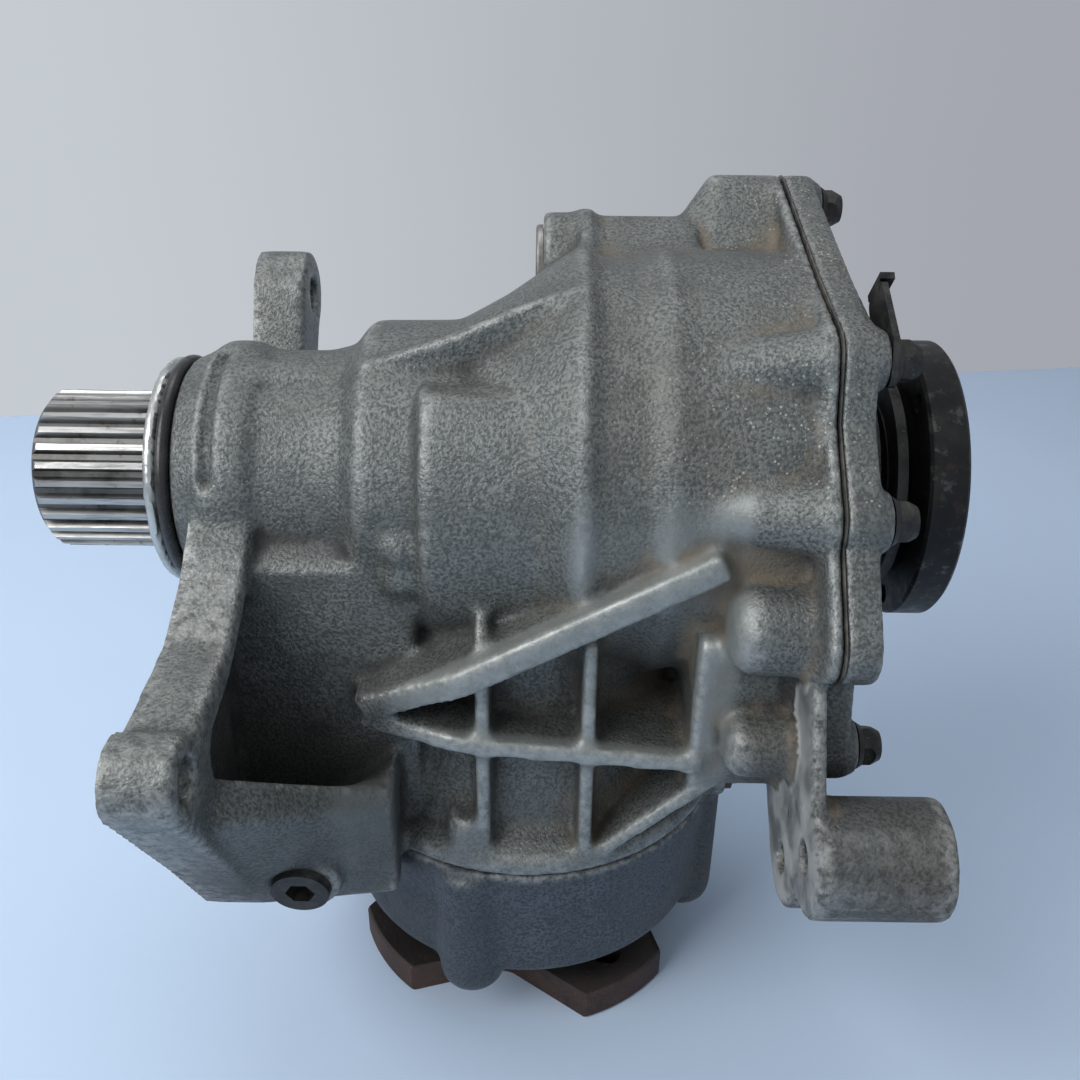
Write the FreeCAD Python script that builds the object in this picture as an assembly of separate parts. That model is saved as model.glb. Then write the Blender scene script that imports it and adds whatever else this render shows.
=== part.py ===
import FreeCAD, Part
import os
from math import acos, atan, atan2, cos, pi, radians, sin, sqrt, tan

# Bevel differential in a cast housing, in millimetres.
# +Z up along the pinion, +X along the axle towards the round output flange, -Y towards the front.
# The origin is the centre of the input flange's lower face. Heights (names ending in _z, _top or
# _bottom) are measured from the axle line.

V = FreeCAD.Vector

# Driving dimensions: layout
axle_height = 211.0          # axle line above the lower face of the input flange
joint_x = 94.0               # joint face between housing and bearing cover
cover_thickness = 15.0       # rim of the bearing cover
gasket_t = 0.5
seam_z = -125.0              # joint face between housing and pinion housing
mount_x = -113.0             # left mounting face, at the two ears
ear_thickness = 21.0
ear_bore_r = 7.0
gap = 0.3                    # running gap between parts that only pass each other
fit = 0.03                   # radial clearance of running fits

# Driving dimensions: final drive
ring_teeth = 37
pinion_teeth = 13
ring_pitch_r = 58.0
ring_face = 19.0
ring_back_x = 41.0
drive_backlash = 0.34
pressure_angle = radians(20.0)

# Driving dimensions: differential gears
side_teeth = 16
spider_teeth = 10
side_pitch_r = 25.0
side_face = 9.5
spider_backlash = 0.30
spider_pressure_angle = radians(24.0)
cross_pin_r = 7.0
case_ball_r = 40.5
case_wall = 8.0
case_flange_t = 10.0
case_flange_r = 55.0
trunnion_r = 17.5
ring_bolt_count = 10
ring_bolt_r = 4.0
ring_bolt_circle_r = 48.5

# Driving dimensions: taper roller bearings of the case and of the pinion
case_bearing_or = 31.0
case_bearing_w = 17.0
left_bearing_x = -59.0       # outer side of the left case bearing
right_bearing_x = 55.5       # inner side of the right case bearing
head_bearing_ir = 17.5
head_bearing_or = 36.0
head_bearing_w = 19.0
head_bearing_top = -76.0
tail_bearing_ir = 15.0
tail_bearing_or = 31.0
tail_bearing_w = 16.0
tail_bearing_top = -150.0
roller_count = 12
shim_t = 1.5

# Driving dimensions: input flange
flange_r = 73.4
flange_t = 14.0
arm_width_deg = 30.6
arm_first_deg = -54.7
notch_r = 46.0
flange_bolt_pcd = 116.0
flange_bolt_r = 6.25
flange_hub_r = 22.0

# Driving dimensions: output stub and spigot
stub_end_x = -172.6
stub_teeth = 28
stub_r = 28.7
stub_root_r = 26.3
stub_spline_end_x = -131.0
stub_shaft_r = 20.0
spigot_end_x = -129.0
spigot_r = 41.0
oring_section_r = 2.3
oring_squeeze = 0.8
oring_x = -122.6
tube_collar_r = 45.0
tube_r = 44.0
shoulder_x = -57.0
shoulder_r = 55.0

# Driving dimensions: output flange on the right
disc_r = 50.0
disc_x = 131.0
disc_t = 13.2
disc_hub_r = 30.0
disc_bolt_pcd = 86.0
disc_bolt_r = 3.4
disc_bolt_count = 6
seal_hub_r = 22.0
output_shaft_r = 14.0
seal_w = 8.0
seal_case_t = 1.4

# Driving dimensions: barrel and joint flange of the housing
barrel_r = 76.0
barrel_y = 3.0
barrel_z = 4.0
barrel_left_x = 14.0
cavity_r = 63.0
cover_bolt_r = 4.0
cover_head_r = 8.0
cover_thread = 15.0
cover_lobes = [
    (60.0, 85.0, 12.0),
    (-47.5, 60.5, 10.5),
    (-75.0, 19.5, 11.0),
    (-80.0, -61.0, 11.0),
    (-22.0, -80.0, 10.5),
    (40.0, -70.0, 10.5),
    (76.0, -30.0, 10.5),
    (80.0, 30.0, 10.5),
]
clip_lobe = cover_lobes[1]           # its bolt also holds the clip bracket
foot_lobe = (-93.0, -13.0, 12.0)     # ear of the cover's rim that carries no bolt
rim_t = 5.0
parting_y = -17.0                    # plane where the two halves of the casting mould met
fin_y = -25.5                        # front face of the fin above the chest

# Driving dimensions: pinion housing
carrier_r = 78.3
carrier_draft = 4.0
carrier_bottom = -180.0
carrier_spigot_r = 44.0
carrier_boss_r = 13.0
carrier_boss_circle_r = 69.0
carrier_boss_first_deg = -107.0
carrier_boss_bottom = -187.0
carrier_bolt_r = 4.25
carrier_bolts = 4

# Driving dimensions: mounting ears and leg
front_ear = (-133.0, -34.0, 13.0)
top_ear = (84.0, 43.0, 17.5)
leg_left_x = 88.0
leg_right_x = 131.0
front_lobe = (-112.0, -80.0, 19.0)
rear_lobe = (-88.0, -103.0, 17.0)
lobe_bore_r = 5.25
plug_x = -77.0
plug_y = -91.0
plug_z = -117.0
plug_r = 9.0
plug_tilt = radians(11.0)
drain_plug_x = 76.0
drain_plug_y = -38.0
drain_plug_z = -104.0
dowel_r = 3.0
dowel_places = [(-62.0, -33.0), (69.5, 3.0)]

# Driving dimensions: side gear hubs, shafts and splines
side_back_x = 22.0
side_hub_r = 18.5
side_hub_x = 30.0
washer_t = 1.0
shaft_end_x = 9.5
shaft_spline_r = 13.0
shaft_spline_teeth = 18
pinion_spline_r = 12.5
pinion_spline_teeth = 18
pinion_nose = 43.5
nut_thread_r = 9.5
nut_r = 18.5
nut_h = 11.0
lock_pin_r = 1.75
lock_pin_z = 36.0
lock_pin_length = 30.0

# Driving dimensions: end of the tube and seals
stub_bearing_or = 31.0
stub_bearing_w = 16.5
ball_r = 3.6
ball_count = 12
left_seal_r = 34.0
right_seal_r = 31.0
shoulder_bore_r = 26.0
clip_t = 2.0
cap_r = 15.5
cap_x = 4.0
vent_y = 46.0
vent_z = 65.0
vent_bore_r = 14.0

parts = {}


def at(x, y, z):
    """Point with its height measured from the axle line."""
    return V(x, y, axle_height + z)


def outline(corners, place):
    """Closed face through corners (u, v) or (u, v, radius), where a radius rounds the corner."""
    count = len(corners)
    flat = [V(c[0], c[1], 0) for c in corners]
    spans = []
    for i, corner in enumerate(corners):
        point = flat[i]
        radius = corner[2] if len(corner) > 2 else 0.0
        if radius <= 0:
            spans.append((point, None, point))
            continue
        back = (flat[i - 1] - point).normalize()
        ahead = (flat[(i + 1) % count] - point).normalize()
        half = acos(max(-1.0, min(1.0, back.dot(ahead)))) / 2
        reach = radius / tan(half)
        middle = point + (back + ahead).normalize() * (radius / sin(half) - radius)
        spans.append((point + back * reach, middle, point + ahead * reach))
    edges = []
    for i, (start, middle, end) in enumerate(spans):
        if middle is not None:
            edges.append(Part.Arc(place(start), place(middle), place(end)).toShape())
        following = spans[(i + 1) % count][0]
        if end.distanceToPoint(following) > 1e-6:
            edges.append(Part.LineSegment(place(end), place(following)).toShape())
    return Part.Face(Part.Wire(edges))


def turn_x(corners, angle=360.0, centre_y=0.0, centre_z=0.0):
    """Solid turned about a line along X; corners are (x, radius[, rounding])."""
    face = outline(corners, lambda p: at(p.x, centre_y, centre_z + p.y))
    return face.revolve(at(0, centre_y, centre_z), V(1, 0, 0), angle)


def turn_z(corners):
    """Solid turned about the pinion line; corners are (radius, height[, rounding])."""
    return outline(corners, lambda p: at(p.x, 0, p.y)).revolve(at(0, 0, 0), V(0, 0, 1), 360)


def turn_pinion(corners):
    """Solid turned about the pinion line, from corners (height, radius)."""
    return turn_z([(r, z) for z, r in corners])


def slab_x(corners, x0, x1):
    """Prism between two planes across X; corners are (y, z[, rounding])."""
    return outline(corners, lambda p: at(x0, p.x, p.y)).extrude(V(x1 - x0, 0, 0))


def slab_y(corners, y0, y1):
    """Prism between two planes across Y; corners are (x, z[, rounding])."""
    return outline(corners, lambda p: at(p.x, y0, p.y)).extrude(V(0, y1 - y0, 0))


def slab_z(corners, z0, z1):
    """Prism between two heights; corners are (x, y[, rounding])."""
    return outline(corners, lambda p: at(p.x, p.y, z0)).extrude(V(0, 0, z1 - z0))


def bar_x(x0, x1, y, z, r):
    """Round bar along X."""
    return Part.makeCylinder(r, x1 - x0, at(x0, y, z), V(1, 0, 0))


def bar_z(x, y, z0, z1, r):
    """Round bar along Z."""
    return Part.makeCylinder(r, z1 - z0, at(x, y, z0), V(0, 0, 1))


def ring_x(x0, x1, inner, outer):
    """Plain ring about the axle."""
    return turn_x([(x0, inner), (x1, inner), (x1, outer), (x0, outer)])


def domed_bar_x(x0, x1, y, z, r, dome):
    """Round boss along X whose left end is rounded by the radius dome."""
    return turn_x([(x0, 0), (x1, 0), (x1, r), (x0, r, dome)], centre_y=y, centre_z=z)


def teardrop_wire(base, lobe, x):
    """Outline at x around a base circle and a lobe circle, each (y, z, r), and their tangents."""
    dy = lobe[0] - base[0]
    dz = lobe[1] - base[1]
    bearing = atan2(dz, dy)
    spread = acos((base[2] - lobe[2]) / sqrt(dy * dy + dz * dz))

    def on(circle, angle):
        return at(x, circle[0] + circle[2] * cos(angle), circle[1] + circle[2] * sin(angle))

    first, last = bearing - spread, bearing + spread
    return Part.Wire([
        Part.Arc(on(lobe, first), on(lobe, bearing), on(lobe, last)).toShape(),
        Part.LineSegment(on(lobe, last), on(base, last)).toShape(),
        Part.Arc(on(base, last), on(base, bearing + pi), on(base, first)).toShape(),
        Part.LineSegment(on(base, first), on(lobe, first)).toShape()])


def teardrop(base, lobe, x0, x1):
    """Prism along X around a base circle and a lobe circle, each (y, z, r), and their tangents."""
    return Part.Face(teardrop_wire(base, lobe, x0)).extrude(V(x1 - x0, 0, 0))


def toward(lobe, reach, radius):
    """Circle of the given radius inside the barrel, whose far side is at reach towards the lobe."""
    bearing = atan2(lobe[1] - barrel_z, lobe[0] - barrel_y)
    along = reach - radius
    return (barrel_y + along * cos(bearing), barrel_z + along * sin(bearing), radius)


def swell(root, lobe, x0, x1, start_reach):
    """Lobe that rises out of the barrel along X, from start_reach at x0 to its full size at x1."""
    low = toward(lobe, start_reach, lobe[2])
    return Part.makeLoft([teardrop_wire(root, low, x0), teardrop_wire(root, lobe, x1)], True, True)


def front_rib(start, end, fronts, thickness, root_y=-30.0):
    """Straight rib seen from the front between two points (x, z).

    fronts lists (share of the length, y) along its front edge; the rib reaches back to root_y.
    """
    along = V(end[0] - start[0], 0, end[1] - start[1])
    normal = V(0, 1, 0).cross(along).normalize()
    corners = [at(start[0], root_y, start[1])]
    for share, y in fronts:
        corners.append(at(start[0] + along.x * share, y, start[1] + along.z * share))
    corners.append(at(end[0], root_y, end[1]))
    face = Part.Face(Part.makePolygon(corners + corners[:1]))
    face.translate(normal * (-thickness / 2))
    return face.extrude(normal * thickness)


def hexagon(across_flats, z0, z1):
    """Hexagonal prism about the local Z axis."""
    r = across_flats / sqrt(3)
    points = [V(r * cos(radians(60 * i)), r * sin(radians(60 * i)), z0) for i in range(7)]
    return Part.Face(Part.makePolygon(points)).extrude(V(0, 0, z1 - z0))


def flange_bolt(shank_r, length, head_r):
    """Hex bolt with a washer face; the head stands up from local z = 0 and the shank goes down."""
    head = hexagon(head_r * 1.5, 0, shank_r * 1.6 + 1.6)
    crown = Part.makeCone(head_r * 1.15, head_r * 0.62, shank_r * 1.6 + 1.6)
    washer = Part.makeCone(head_r, head_r * 0.86, 1.8)
    shank = Part.makeCylinder(shank_r, length + 0.5, V(0, 0, -length))
    return head.common(crown).fuse([washer, shank]).removeSplitter()


def aimed(shape, base, direction):
    """Copy of a shape made along local +Z, moved to base and turned to direction."""
    copy = shape.copy()
    copy.Placement = FreeCAD.Placement(base, FreeCAD.Rotation(V(0, 0, 1), direction))
    return copy


def around_z(shape, count, first_deg=0.0):
    """Copies of a shape spaced evenly about the pinion line."""
    copies = []
    for i in range(count):
        copy = shape.copy()
        copy.rotate(at(0, 0, 0), V(0, 0, 1), first_deg + 360.0 * i / count)
        copies.append(copy)
    return copies


def around_x(shape, count, first_deg=0.0):
    """Copies of a shape spaced evenly about the axle."""
    copies = []
    for i in range(count):
        copy = shape.copy()
        copy.rotate(at(0, 0, 0), V(1, 0, 0), first_deg + 360.0 * i / count)
        copies.append(copy)
    return copies


# Gears


def involute(angle):
    return tan(angle) - angle


def tooth_space(teeth, pitch_r, mate_pitch_r, shift, pressure, backlash, toe_share):
    """Pyramid that cuts one tooth space of a straight bevel gear, apex at the origin, axis +Z."""
    cone = atan(pitch_r / mate_pitch_r)
    spur_r = pitch_r / cos(cone)
    spur_teeth = teeth / cos(cone)
    module = 2 * pitch_r / teeth
    base_r = spur_r * cos(pressure)
    root_r = spur_r - module * (1.25 - shift)
    tip_r = spur_r + module * (1.0 + shift)
    half_tooth = (pi / 2 + 2 * shift * tan(pressure)) / spur_teeth - backlash / (4 * spur_r)

    def half_space(r):
        on_flank = acos(base_r / max(r, base_r))
        return pi / spur_teeth - (half_tooth + involute(pressure) - involute(on_flank))

    start = max(base_r, root_r)
    radii = [start + (tip_r - start) * share for share in (0.0, 0.35, 0.7, 1.0)]
    side = [(r * sin(half_space(r)), r * cos(half_space(r))) for r in radii]
    if root_r < start:
        side.insert(0, (root_r * sin(half_space(start)), root_r * cos(half_space(start))))
    slope = (side[-1][0] - side[-2][0]) / (side[-1][1] - side[-2][1])
    lift = module * 1.5
    side.append((side[-1][0] + slope * lift, side[-1][1] + lift))
    ring = [(-u, w) for u, w in side] + [(u, w) for u, w in reversed(side)]
    heel = []
    for u, w in ring:
        out = w - spur_r
        heel.append(V(pitch_r + out * cos(cone), u, mate_pitch_r - out * sin(cone)))
    sections = []
    for share in (toe_share, 1.25):
        points = [p * share for p in heel]
        sections.append(Part.makePolygon(points + points[:1]))
    return Part.makeLoft(sections, True, True)


def bevel_teeth(blank, teeth, cutter, phase_deg):
    """Blank about the local Z axis with its tooth spaces cut."""
    spaces = []
    for i in range(teeth):
        space = cutter.copy()
        space.rotate(V(0, 0, 0), V(0, 0, 1), phase_deg + 360.0 * i / teeth)
        spaces.append(space)
    return blank.cut(spaces)


def bevel_blank(pitch_r, mate_pitch_r, module, shift, face_width, hub):
    """Turned blank of a bevel gear, apex at the origin, axis +Z; hub lists (r, z) behind the heel."""
    cone = atan(pitch_r / mate_pitch_r)
    length = sqrt(pitch_r ** 2 + mate_pitch_r ** 2)
    toe = 1 - face_width / length
    top = module * (1.0 + shift)
    deep = module * (1.25 - shift) + module * 0.55
    heel_tip = (pitch_r + top * cos(cone), mate_pitch_r - top * sin(cone))
    heel_root = (pitch_r - deep * cos(cone), mate_pitch_r + deep * sin(cone))
    toe_tip = (heel_tip[0] * toe, heel_tip[1] * toe)
    toe_root = (heel_root[0] * toe, heel_root[1] * toe)
    corners = [toe_root, toe_tip, heel_tip, heel_root] + hub
    face = outline(corners, lambda p: V(p.x, 0, p.y))
    return face.revolve(V(0, 0, 0), V(0, 0, 1), 360)


def along_axle(shape, direction=1):
    """Gear made about local Z, laid along the axle with its apex on the pinion line."""
    copy = shape.copy()
    copy.rotate(V(0, 0, 0), V(0, 1, 0), 90 * direction)
    copy.translate(at(0, 0, 0))
    return copy


def along_pin(shape, direction):
    """Gear made about local Z, set on the vertical pin above or below the axle."""
    copy = shape.copy()
    if direction < 0:
        copy.rotate(V(0, 0, 0), V(1, 0, 0), 180)
    copy.translate(at(0, 0, 0))
    return copy


def spline_tool(teeth, tip_r, root_r, length, grow=0.0):
    """Straight-flanked splined bar about the local Z axis, grown outwards by a clearance."""
    pitch = 2 * pi / teeth
    points = []
    for i in range(teeth):
        middle = i * pitch
        for r, share in ((root_r, -0.34), (tip_r, -0.17), (tip_r, 0.17), (root_r, 0.34)):
            spread = share * pitch + (grow / r if share > 0 else -grow / r)
            points.append(V((r + grow) * cos(middle + spread), (r + grow) * sin(middle + spread), 0))
    return Part.Face(Part.makePolygon(points + points[:1])).extrude(V(0, 0, length))


# Bearings and seals


def taper_bearing(ir, outer_r, width, place, turn):
    """Cup, cone and the cross section of a roller of a taper roller bearing.

    place turns a distance from the cup's back face into a position on the axis, and turn makes a
    solid from corners (position, radius).
    """
    slope = 0.16
    middle = (ir + outer_r) / 2
    half_roller = (outer_r - ir) * 0.19
    overhang = width * 0.14
    rib = half_roller * 0.7
    end_play = slope * half_roller + gap

    def race(s, side):
        return middle + slope * (s - width / 2) + side * (half_roller + fit)

    low = overhang + 1.6
    high = width - 3.0
    cup = [(0.0, race(0.0, 1)), (width - overhang, race(width - overhang, 1)),
           (width - overhang, outer_r), (0.0, outer_r)]
    thick_rib = high + end_play
    thin_rib = low - end_play
    cone = [(overhang, ir), (width, ir), (width, race(width, -1) + rib),
            (thick_rib, race(thick_rib, -1) + rib), (thick_rib, race(thick_rib, -1)),
            (thin_rib, race(thin_rib, -1)), (thin_rib, race(thin_rib, -1) + rib * 0.5),
            (overhang, race(overhang, -1) + rib * 0.5)]
    roller = [(place(s), middle + slope * (s - width / 2), half_roller) for s in (low, high)]
    return turn([(place(s), r) for s, r in cup]), turn([(place(s), r) for s, r in cone]), roller


def rollers_between(roller, point, spin):
    """Rollers evenly spaced in a bearing; point gives the place of (position, radius)."""
    (s0, r0, half), (s1, r1, _) = roller
    start = point(s0, r0)
    direction = point(s1, r1) - start
    body = Part.makeCylinder(half * 0.985, direction.Length, start, direction)
    return Part.makeCompound(spin(body, roller_count))


def oil_seal(inner, outward, shaft_r, outer_r, turn):
    """Oil seal: a case with a lip that nearly touches the shaft.

    inner is the place of the oil side, outward is +1 or -1 along the axis, and turn makes a solid
    from corners (position, radius).
    """
    corners = [(0.0, outer_r), (0.0, shaft_r + 3.0), (seal_case_t, shaft_r + 3.0),
               (seal_case_t, outer_r - 2.5), (seal_w - 3.4, outer_r - 2.5), (seal_w - 3.4, shaft_r + gap),
               (seal_w - 1.2, shaft_r + gap), (seal_w, shaft_r + 2.0), (seal_w, outer_r)]
    return turn([(inner + outward * s, r) for s, r in corners])


# Derived places

cover_out_x = joint_x + cover_thickness
left_seat_x = left_bearing_x + case_bearing_w
right_seat_x = right_bearing_x + case_bearing_w
ring_module = 2 * ring_pitch_r / ring_teeth
pinion_pitch_r = ring_pitch_r * pinion_teeth / ring_teeth
spider_pitch_r = side_pitch_r * spider_teeth / side_teeth
side_module = 2 * side_pitch_r / side_teeth
head_bearing_bottom = head_bearing_top - head_bearing_w
tail_bearing_bottom = tail_bearing_top - tail_bearing_w
case_inner_r = case_ball_r - case_wall
case_flange_x = ring_back_x
case_flange_end = case_flange_x + case_flange_t
drive_shift = 0.3
spider_shift = 0.2
spigot_top = head_bearing_top + 1.5
oring_floor_r = spigot_r + oring_squeeze - 2 * oring_section_r
base_circle = (barrel_y, barrel_z, barrel_r)
stub_bearing_x = spigot_end_x + seal_w
stub_bearing_end_x = stub_bearing_x + stub_bearing_w
seal_boss_x = cover_out_x + 10.0
pinion_seal_z = carrier_bottom - 3.0
case_register_r = case_ball_r + 1.0
nut_seat = axle_height - 17.0
flange_collar_r = flange_hub_r + 0.5
shaft_spline_root_r = shaft_spline_r - 1.3
snap_near_x = shaft_end_x + 1.6
snap_far_x = shaft_end_x + 3.2
snap_groove_r = shaft_spline_r - 2.6
plug_aim = V(0, -cos(plug_tilt), -sin(plug_tilt))


# Main housing casting


def joint_rim(x0, x1):
    """The lobed rim that housing, gasket and cover share at the joint face."""
    rim = [teardrop(base_circle, lobe, x0, x1) for lobe in cover_lobes]
    rim.append(teardrop(base_circle, foot_lobe, x0, x1))
    return rim[0].fuse(rim[1:]).removeSplitter()


def axle_tube():
    """Spigot, collar and tube on the left, with the shoulder towards the barrel."""
    return turn_x([
        (spigot_end_x, 0), (spigot_end_x, spigot_r, 1.0), (oring_x - 2.8, spigot_r),
        (oring_x - 2.8, oring_floor_r), (oring_x + 2.8, oring_floor_r), (oring_x + 2.8, spigot_r),
        (-118.5, spigot_r), (-116.0, spigot_r + 1.2), (mount_x + 1.0, tube_collar_r - 1.0, 2.0),
        (-108.0, tube_collar_r + 2.2, 4.0), (-99.0, tube_collar_r + 2.2, 4.0), (-94.0, tube_collar_r, 3.0),
        (-91.0, tube_r, 2.0), (-72.0, tube_r, 8.0), (shoulder_x - 5.0, tube_r + 2.5, 3.0),
        (shoulder_x + 1.5, shoulder_r, 4.0), (barrel_left_x, shoulder_r + 1.0), (barrel_left_x, 0)])


def barrel():
    """Round housing of the ring gear with its two cast beads."""
    shape = turn_x([
        (-34.0, 0), (-34.0, 46.0), (-8.0, 60.0, 12.0), (barrel_left_x - 3.0, barrel_r - 3.0, 5.0),
        (18.0, barrel_r + 1.2, 3.0), (24.0, barrel_r - 2.5, 5.0), (38.0, barrel_r - 2.5, 6.0),
        (45.0, barrel_r + 1.0, 4.0), (52.0, barrel_r - 0.5, 6.0), (joint_x, barrel_r), (joint_x, 0)],
        centre_y=barrel_y, centre_z=barrel_z)
    chest_box = slab_x([(parting_y, 46.0), (-90.0, 46.0), (-90.0, -60.0), (parting_y, -60.0)], -35.0, 20.0)
    chest = turn_x([(-36.0, 0), (-36.0, 62.5, 5.0), (20.0, 66.5), (20.0, 0)]).common(chest_box)
    return shape.fuse([chest])


def neck():
    """Wall around the pinion between the barrel and the seam, with its lower rim."""
    return turn_z([
        (0, -30.0), (56.0, -30.0), (58.0, -70.0, 20.0), (66.0, -112.0, 6.0), (carrier_r, -117.5, 3.0),
        (carrier_r, seam_z), (0, seam_z)])


def bolt_bosses():
    """Bosses for the cover bolts, which rise softly out of the barrel; the top one is the fullest."""
    top_lobe = cover_lobes[0]
    top_root = toward(top_lobe, 70.0, 30.0)
    bosses = [swell(top_root, top_lobe, 54.0, 67.0, barrel_r + 16.0),
              teardrop(top_root, top_lobe, 67.0, joint_x),
              domed_bar_x(64.0, joint_x, -78.0, -17.0, 15.0, 9.0),
              domed_bar_x(66.0, joint_x, *cover_lobes[3], 6.0)]
    for lobe in cover_lobes[1:3] + cover_lobes[4:]:
        bosses.append(swell(toward(lobe, 66.0, 24.0), lobe, 46.0, joint_x - rim_t / 2, barrel_r - 4.0))
    return bosses


def vent_boss():
    """Round boss at the top rear whose left end is closed by a pressed cap, with its bead and cheek."""
    boss_r = cap_r + 4.5
    bead_end = cap_x + 18.5
    boss = bar_x(cap_x, bead_end, vent_y, vent_z, boss_r)
    bead = teardrop((barrel_y, barrel_z, 69.0), (vent_y, vent_z, boss_r + 1.5), bead_end - 5.5, bead_end)
    cheek = teardrop((barrel_y, barrel_z, 67.0), (vent_y, vent_z, boss_r - 1.0), bead_end - 3.0, 60.0)
    return boss.fuse([bead, cheek])


def gussets():
    """Fin along the mould parting line, front ribs of the neck, and the deep diagonal rib."""
    fin = slab_y([(shoulder_x + 1.0, 30.0), (shoulder_x + 1.0, 49.8), (-29.0, 58.3), (0.3, 70.9),
                  (14.5, 75.8), (20.0, 76.2), (20.0, 30.0)], fin_y, fin_y + 5.0)
    ribs = [fin,
            front_rib((-57.0, -60.0), (62.0, 5.0), [(0.0, -67.0), (0.3, -80.0), (1.0, -80.0)], 10.0),
            front_rib((-57.0, -64.5), (60.0, -74.5), [(0.0, -66.0), (0.3, -76.5), (1.0, -76.5)], 7.0),
            front_rib((24.0, -120.0), (66.0, -82.5), [(0.0, -74.0), (1.0, -74.0)], 5.5)]
    for rib_x in (-14.5, 21.5):
        ribs.append(front_rib((rib_x, -122.0), (rib_x, -20.0),
                              [(0.0, -75.0), (0.9, -73.0), (1.0, -60.0)], 5.0))
    return ribs


def front_flange():
    """Left mounting plate from the tube down to the front ear, a rim around a thinner web."""
    ear_y, ear_z, ear_r = front_ear
    rim = [(-40.0, 10.0), (-47.0, 0.5, 6.0), (-63.0, -12.0, 12.0), (-84.0, -22.5, 20.0), (-124.0, -26.5, 8.0),
           (ear_y - 1.0, ear_z + ear_r, 6.0), (ear_y - ear_r + 2.0, ear_z + 4.0, 7.0),
           (ear_y - 10.0, ear_z - 8.0, 8.0), (-112.0, -89.0), (-88.0, -128.0, 5.0), (-80.0, -137.0, 4.0),
           (-24.0, -137.0, 4.0), (-24.0, -40.0)]
    plate = slab_x(rim, mount_x, mount_x + ear_thickness)
    boss = bar_x(mount_x, mount_x + ear_thickness, *front_ear)
    pocket = slab_x([(-54.0, -16.0, 4.0), (-66.0, -24.0, 10.0), (-86.0, -33.0, 10.0), (-112.0, -38.0, 8.0),
                     (-112.0, -58.0, 6.0), (-104.0, -78.0, 8.0), (-74.0, -124.0, 6.0), (-54.0, -124.0, 6.0)],
                    mount_x + 9.0, mount_x + ear_thickness + 1.0)
    return plate.cut(pocket).fuse(boss)


def lower_shelf():
    """Slanted block between the front ear and the pinion housing, which carries the oil plug."""
    left = [(-128.0, -57.0), (-86.0, -130.5), (-80.0, -137.0), (-30.0, -137.0), (-30.0, -126.0),
            (-68.0, -126.0), (-112.0, -50.0)]
    right = [(-80.0, -91.5), (-77.0, -133.0), (-73.0, -137.0), (-30.0, -137.0), (-30.0, -84.0),
             (-60.0, -84.0), (-76.0, -86.0)]
    sections = []
    for x, corners in ((mount_x + ear_thickness - 3.0, left), (-46.0, right)):
        points = [at(x, y, z) for y, z in corners]
        sections.append(Part.makePolygon(points + points[:1]))
    block = Part.makeLoft(sections, True, True)
    wall = slab_x([(-43.0, -5.0), (-54.0, -12.0), (-56.0, -130.0), (-46.0, -130.0)],
                  mount_x + 5.0, -38.0)
    boss = Part.makeCylinder(plug_r + 5.0, 30.0, at(plug_x, plug_y, plug_z), -plug_aim)
    return block.fuse([wall, boss])


def rear_ear():
    """Upper ear behind the tube."""
    ear_y, ear_z, ear_r = top_ear
    web_part = slab_x([(20.0, 34.0), (52.0, 22.0, 10.0), (ear_y - 16.0, ear_z + 10.0), (ear_y, ear_z + ear_r),
                       (ear_y + ear_r, ear_z), (ear_y + 6.0, ear_z - ear_r, 8.0), (48.0, -30.0, 20.0),
                       (20.0, -36.0)], mount_x, mount_x + ear_thickness)
    return web_part.fuse(bar_x(mount_x, mount_x + ear_thickness, *top_ear))


def mounting_leg():
    """Two-lobed bracket below the joint face, hung from the barrel by a web."""
    top = (-74.0, -30.0, 20.0)
    web_end = joint_x - 1.0
    web_part = teardrop(top, (front_lobe[0] + 4.0, front_lobe[1], 15.0), leg_left_x, web_end)
    inner = teardrop((-40.0, -50.0, 26.0), (rear_lobe[0] + 6.0, rear_lobe[1], 15.0), leg_left_x, web_end)
    front = bar_x(leg_left_x, leg_right_x, *front_lobe)
    rear = bar_x(leg_left_x, leg_right_x - 8.0, *rear_lobe)
    bridge = teardrop((*rear_lobe[:2], 12.0), (*front_lobe[:2], 11.9), leg_left_x, leg_right_x - 8.0)
    corner = slab_x([(-30.0, -40.0), (-78.0, -20.0, 6.0), (-74.0, -86.0, 6.0), (-30.0, -88.0)], 56.0, web_end)
    return web_part.fuse([inner, front, rear, bridge, corner])


def tube_details():
    """Raised pad with its groove on the tube, and the small double bump beside the chest."""
    pad = turn_x([(-106.0, 0), (-106.0, tube_r + 2.6, 2.0), (-92.5, tube_r + 2.6, 2.0), (-92.5, 0)])
    pad = pad.common(slab_x([(0.0, 60.0), (-60.0, 60.0), (-60.0, 3.0), (0.0, 3.0)], -107.0, -91.0))
    drain_boss = bar_x(30.0, drain_plug_x, drain_plug_y, drain_plug_z, 12.0)
    bumps = [drain_boss]
    for z in (-4.0, -14.0):
        bumps.append(Part.makeSphere(9.0, at(-42.0, -50.0, z)))
    strip = slab_x([(-8.0, 38.0), (-18.2, 38.0), (-18.2, 42.0), (-16.0, 44.5), (-8.0, 46.5)],
                   -95.5, shoulder_x)
    return [pad, strip] + bumps


def tube_groove():
    return turn_x([(-108.3, 42.8), (-108.3, 52.0), (-104.2, 52.0), (-104.2, 42.8)]).common(
        slab_x([(0.0, 60.0), (-60.0, 60.0), (-60.0, 12.0), (0.0, 12.0)], -110.0, -100.0))


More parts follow.
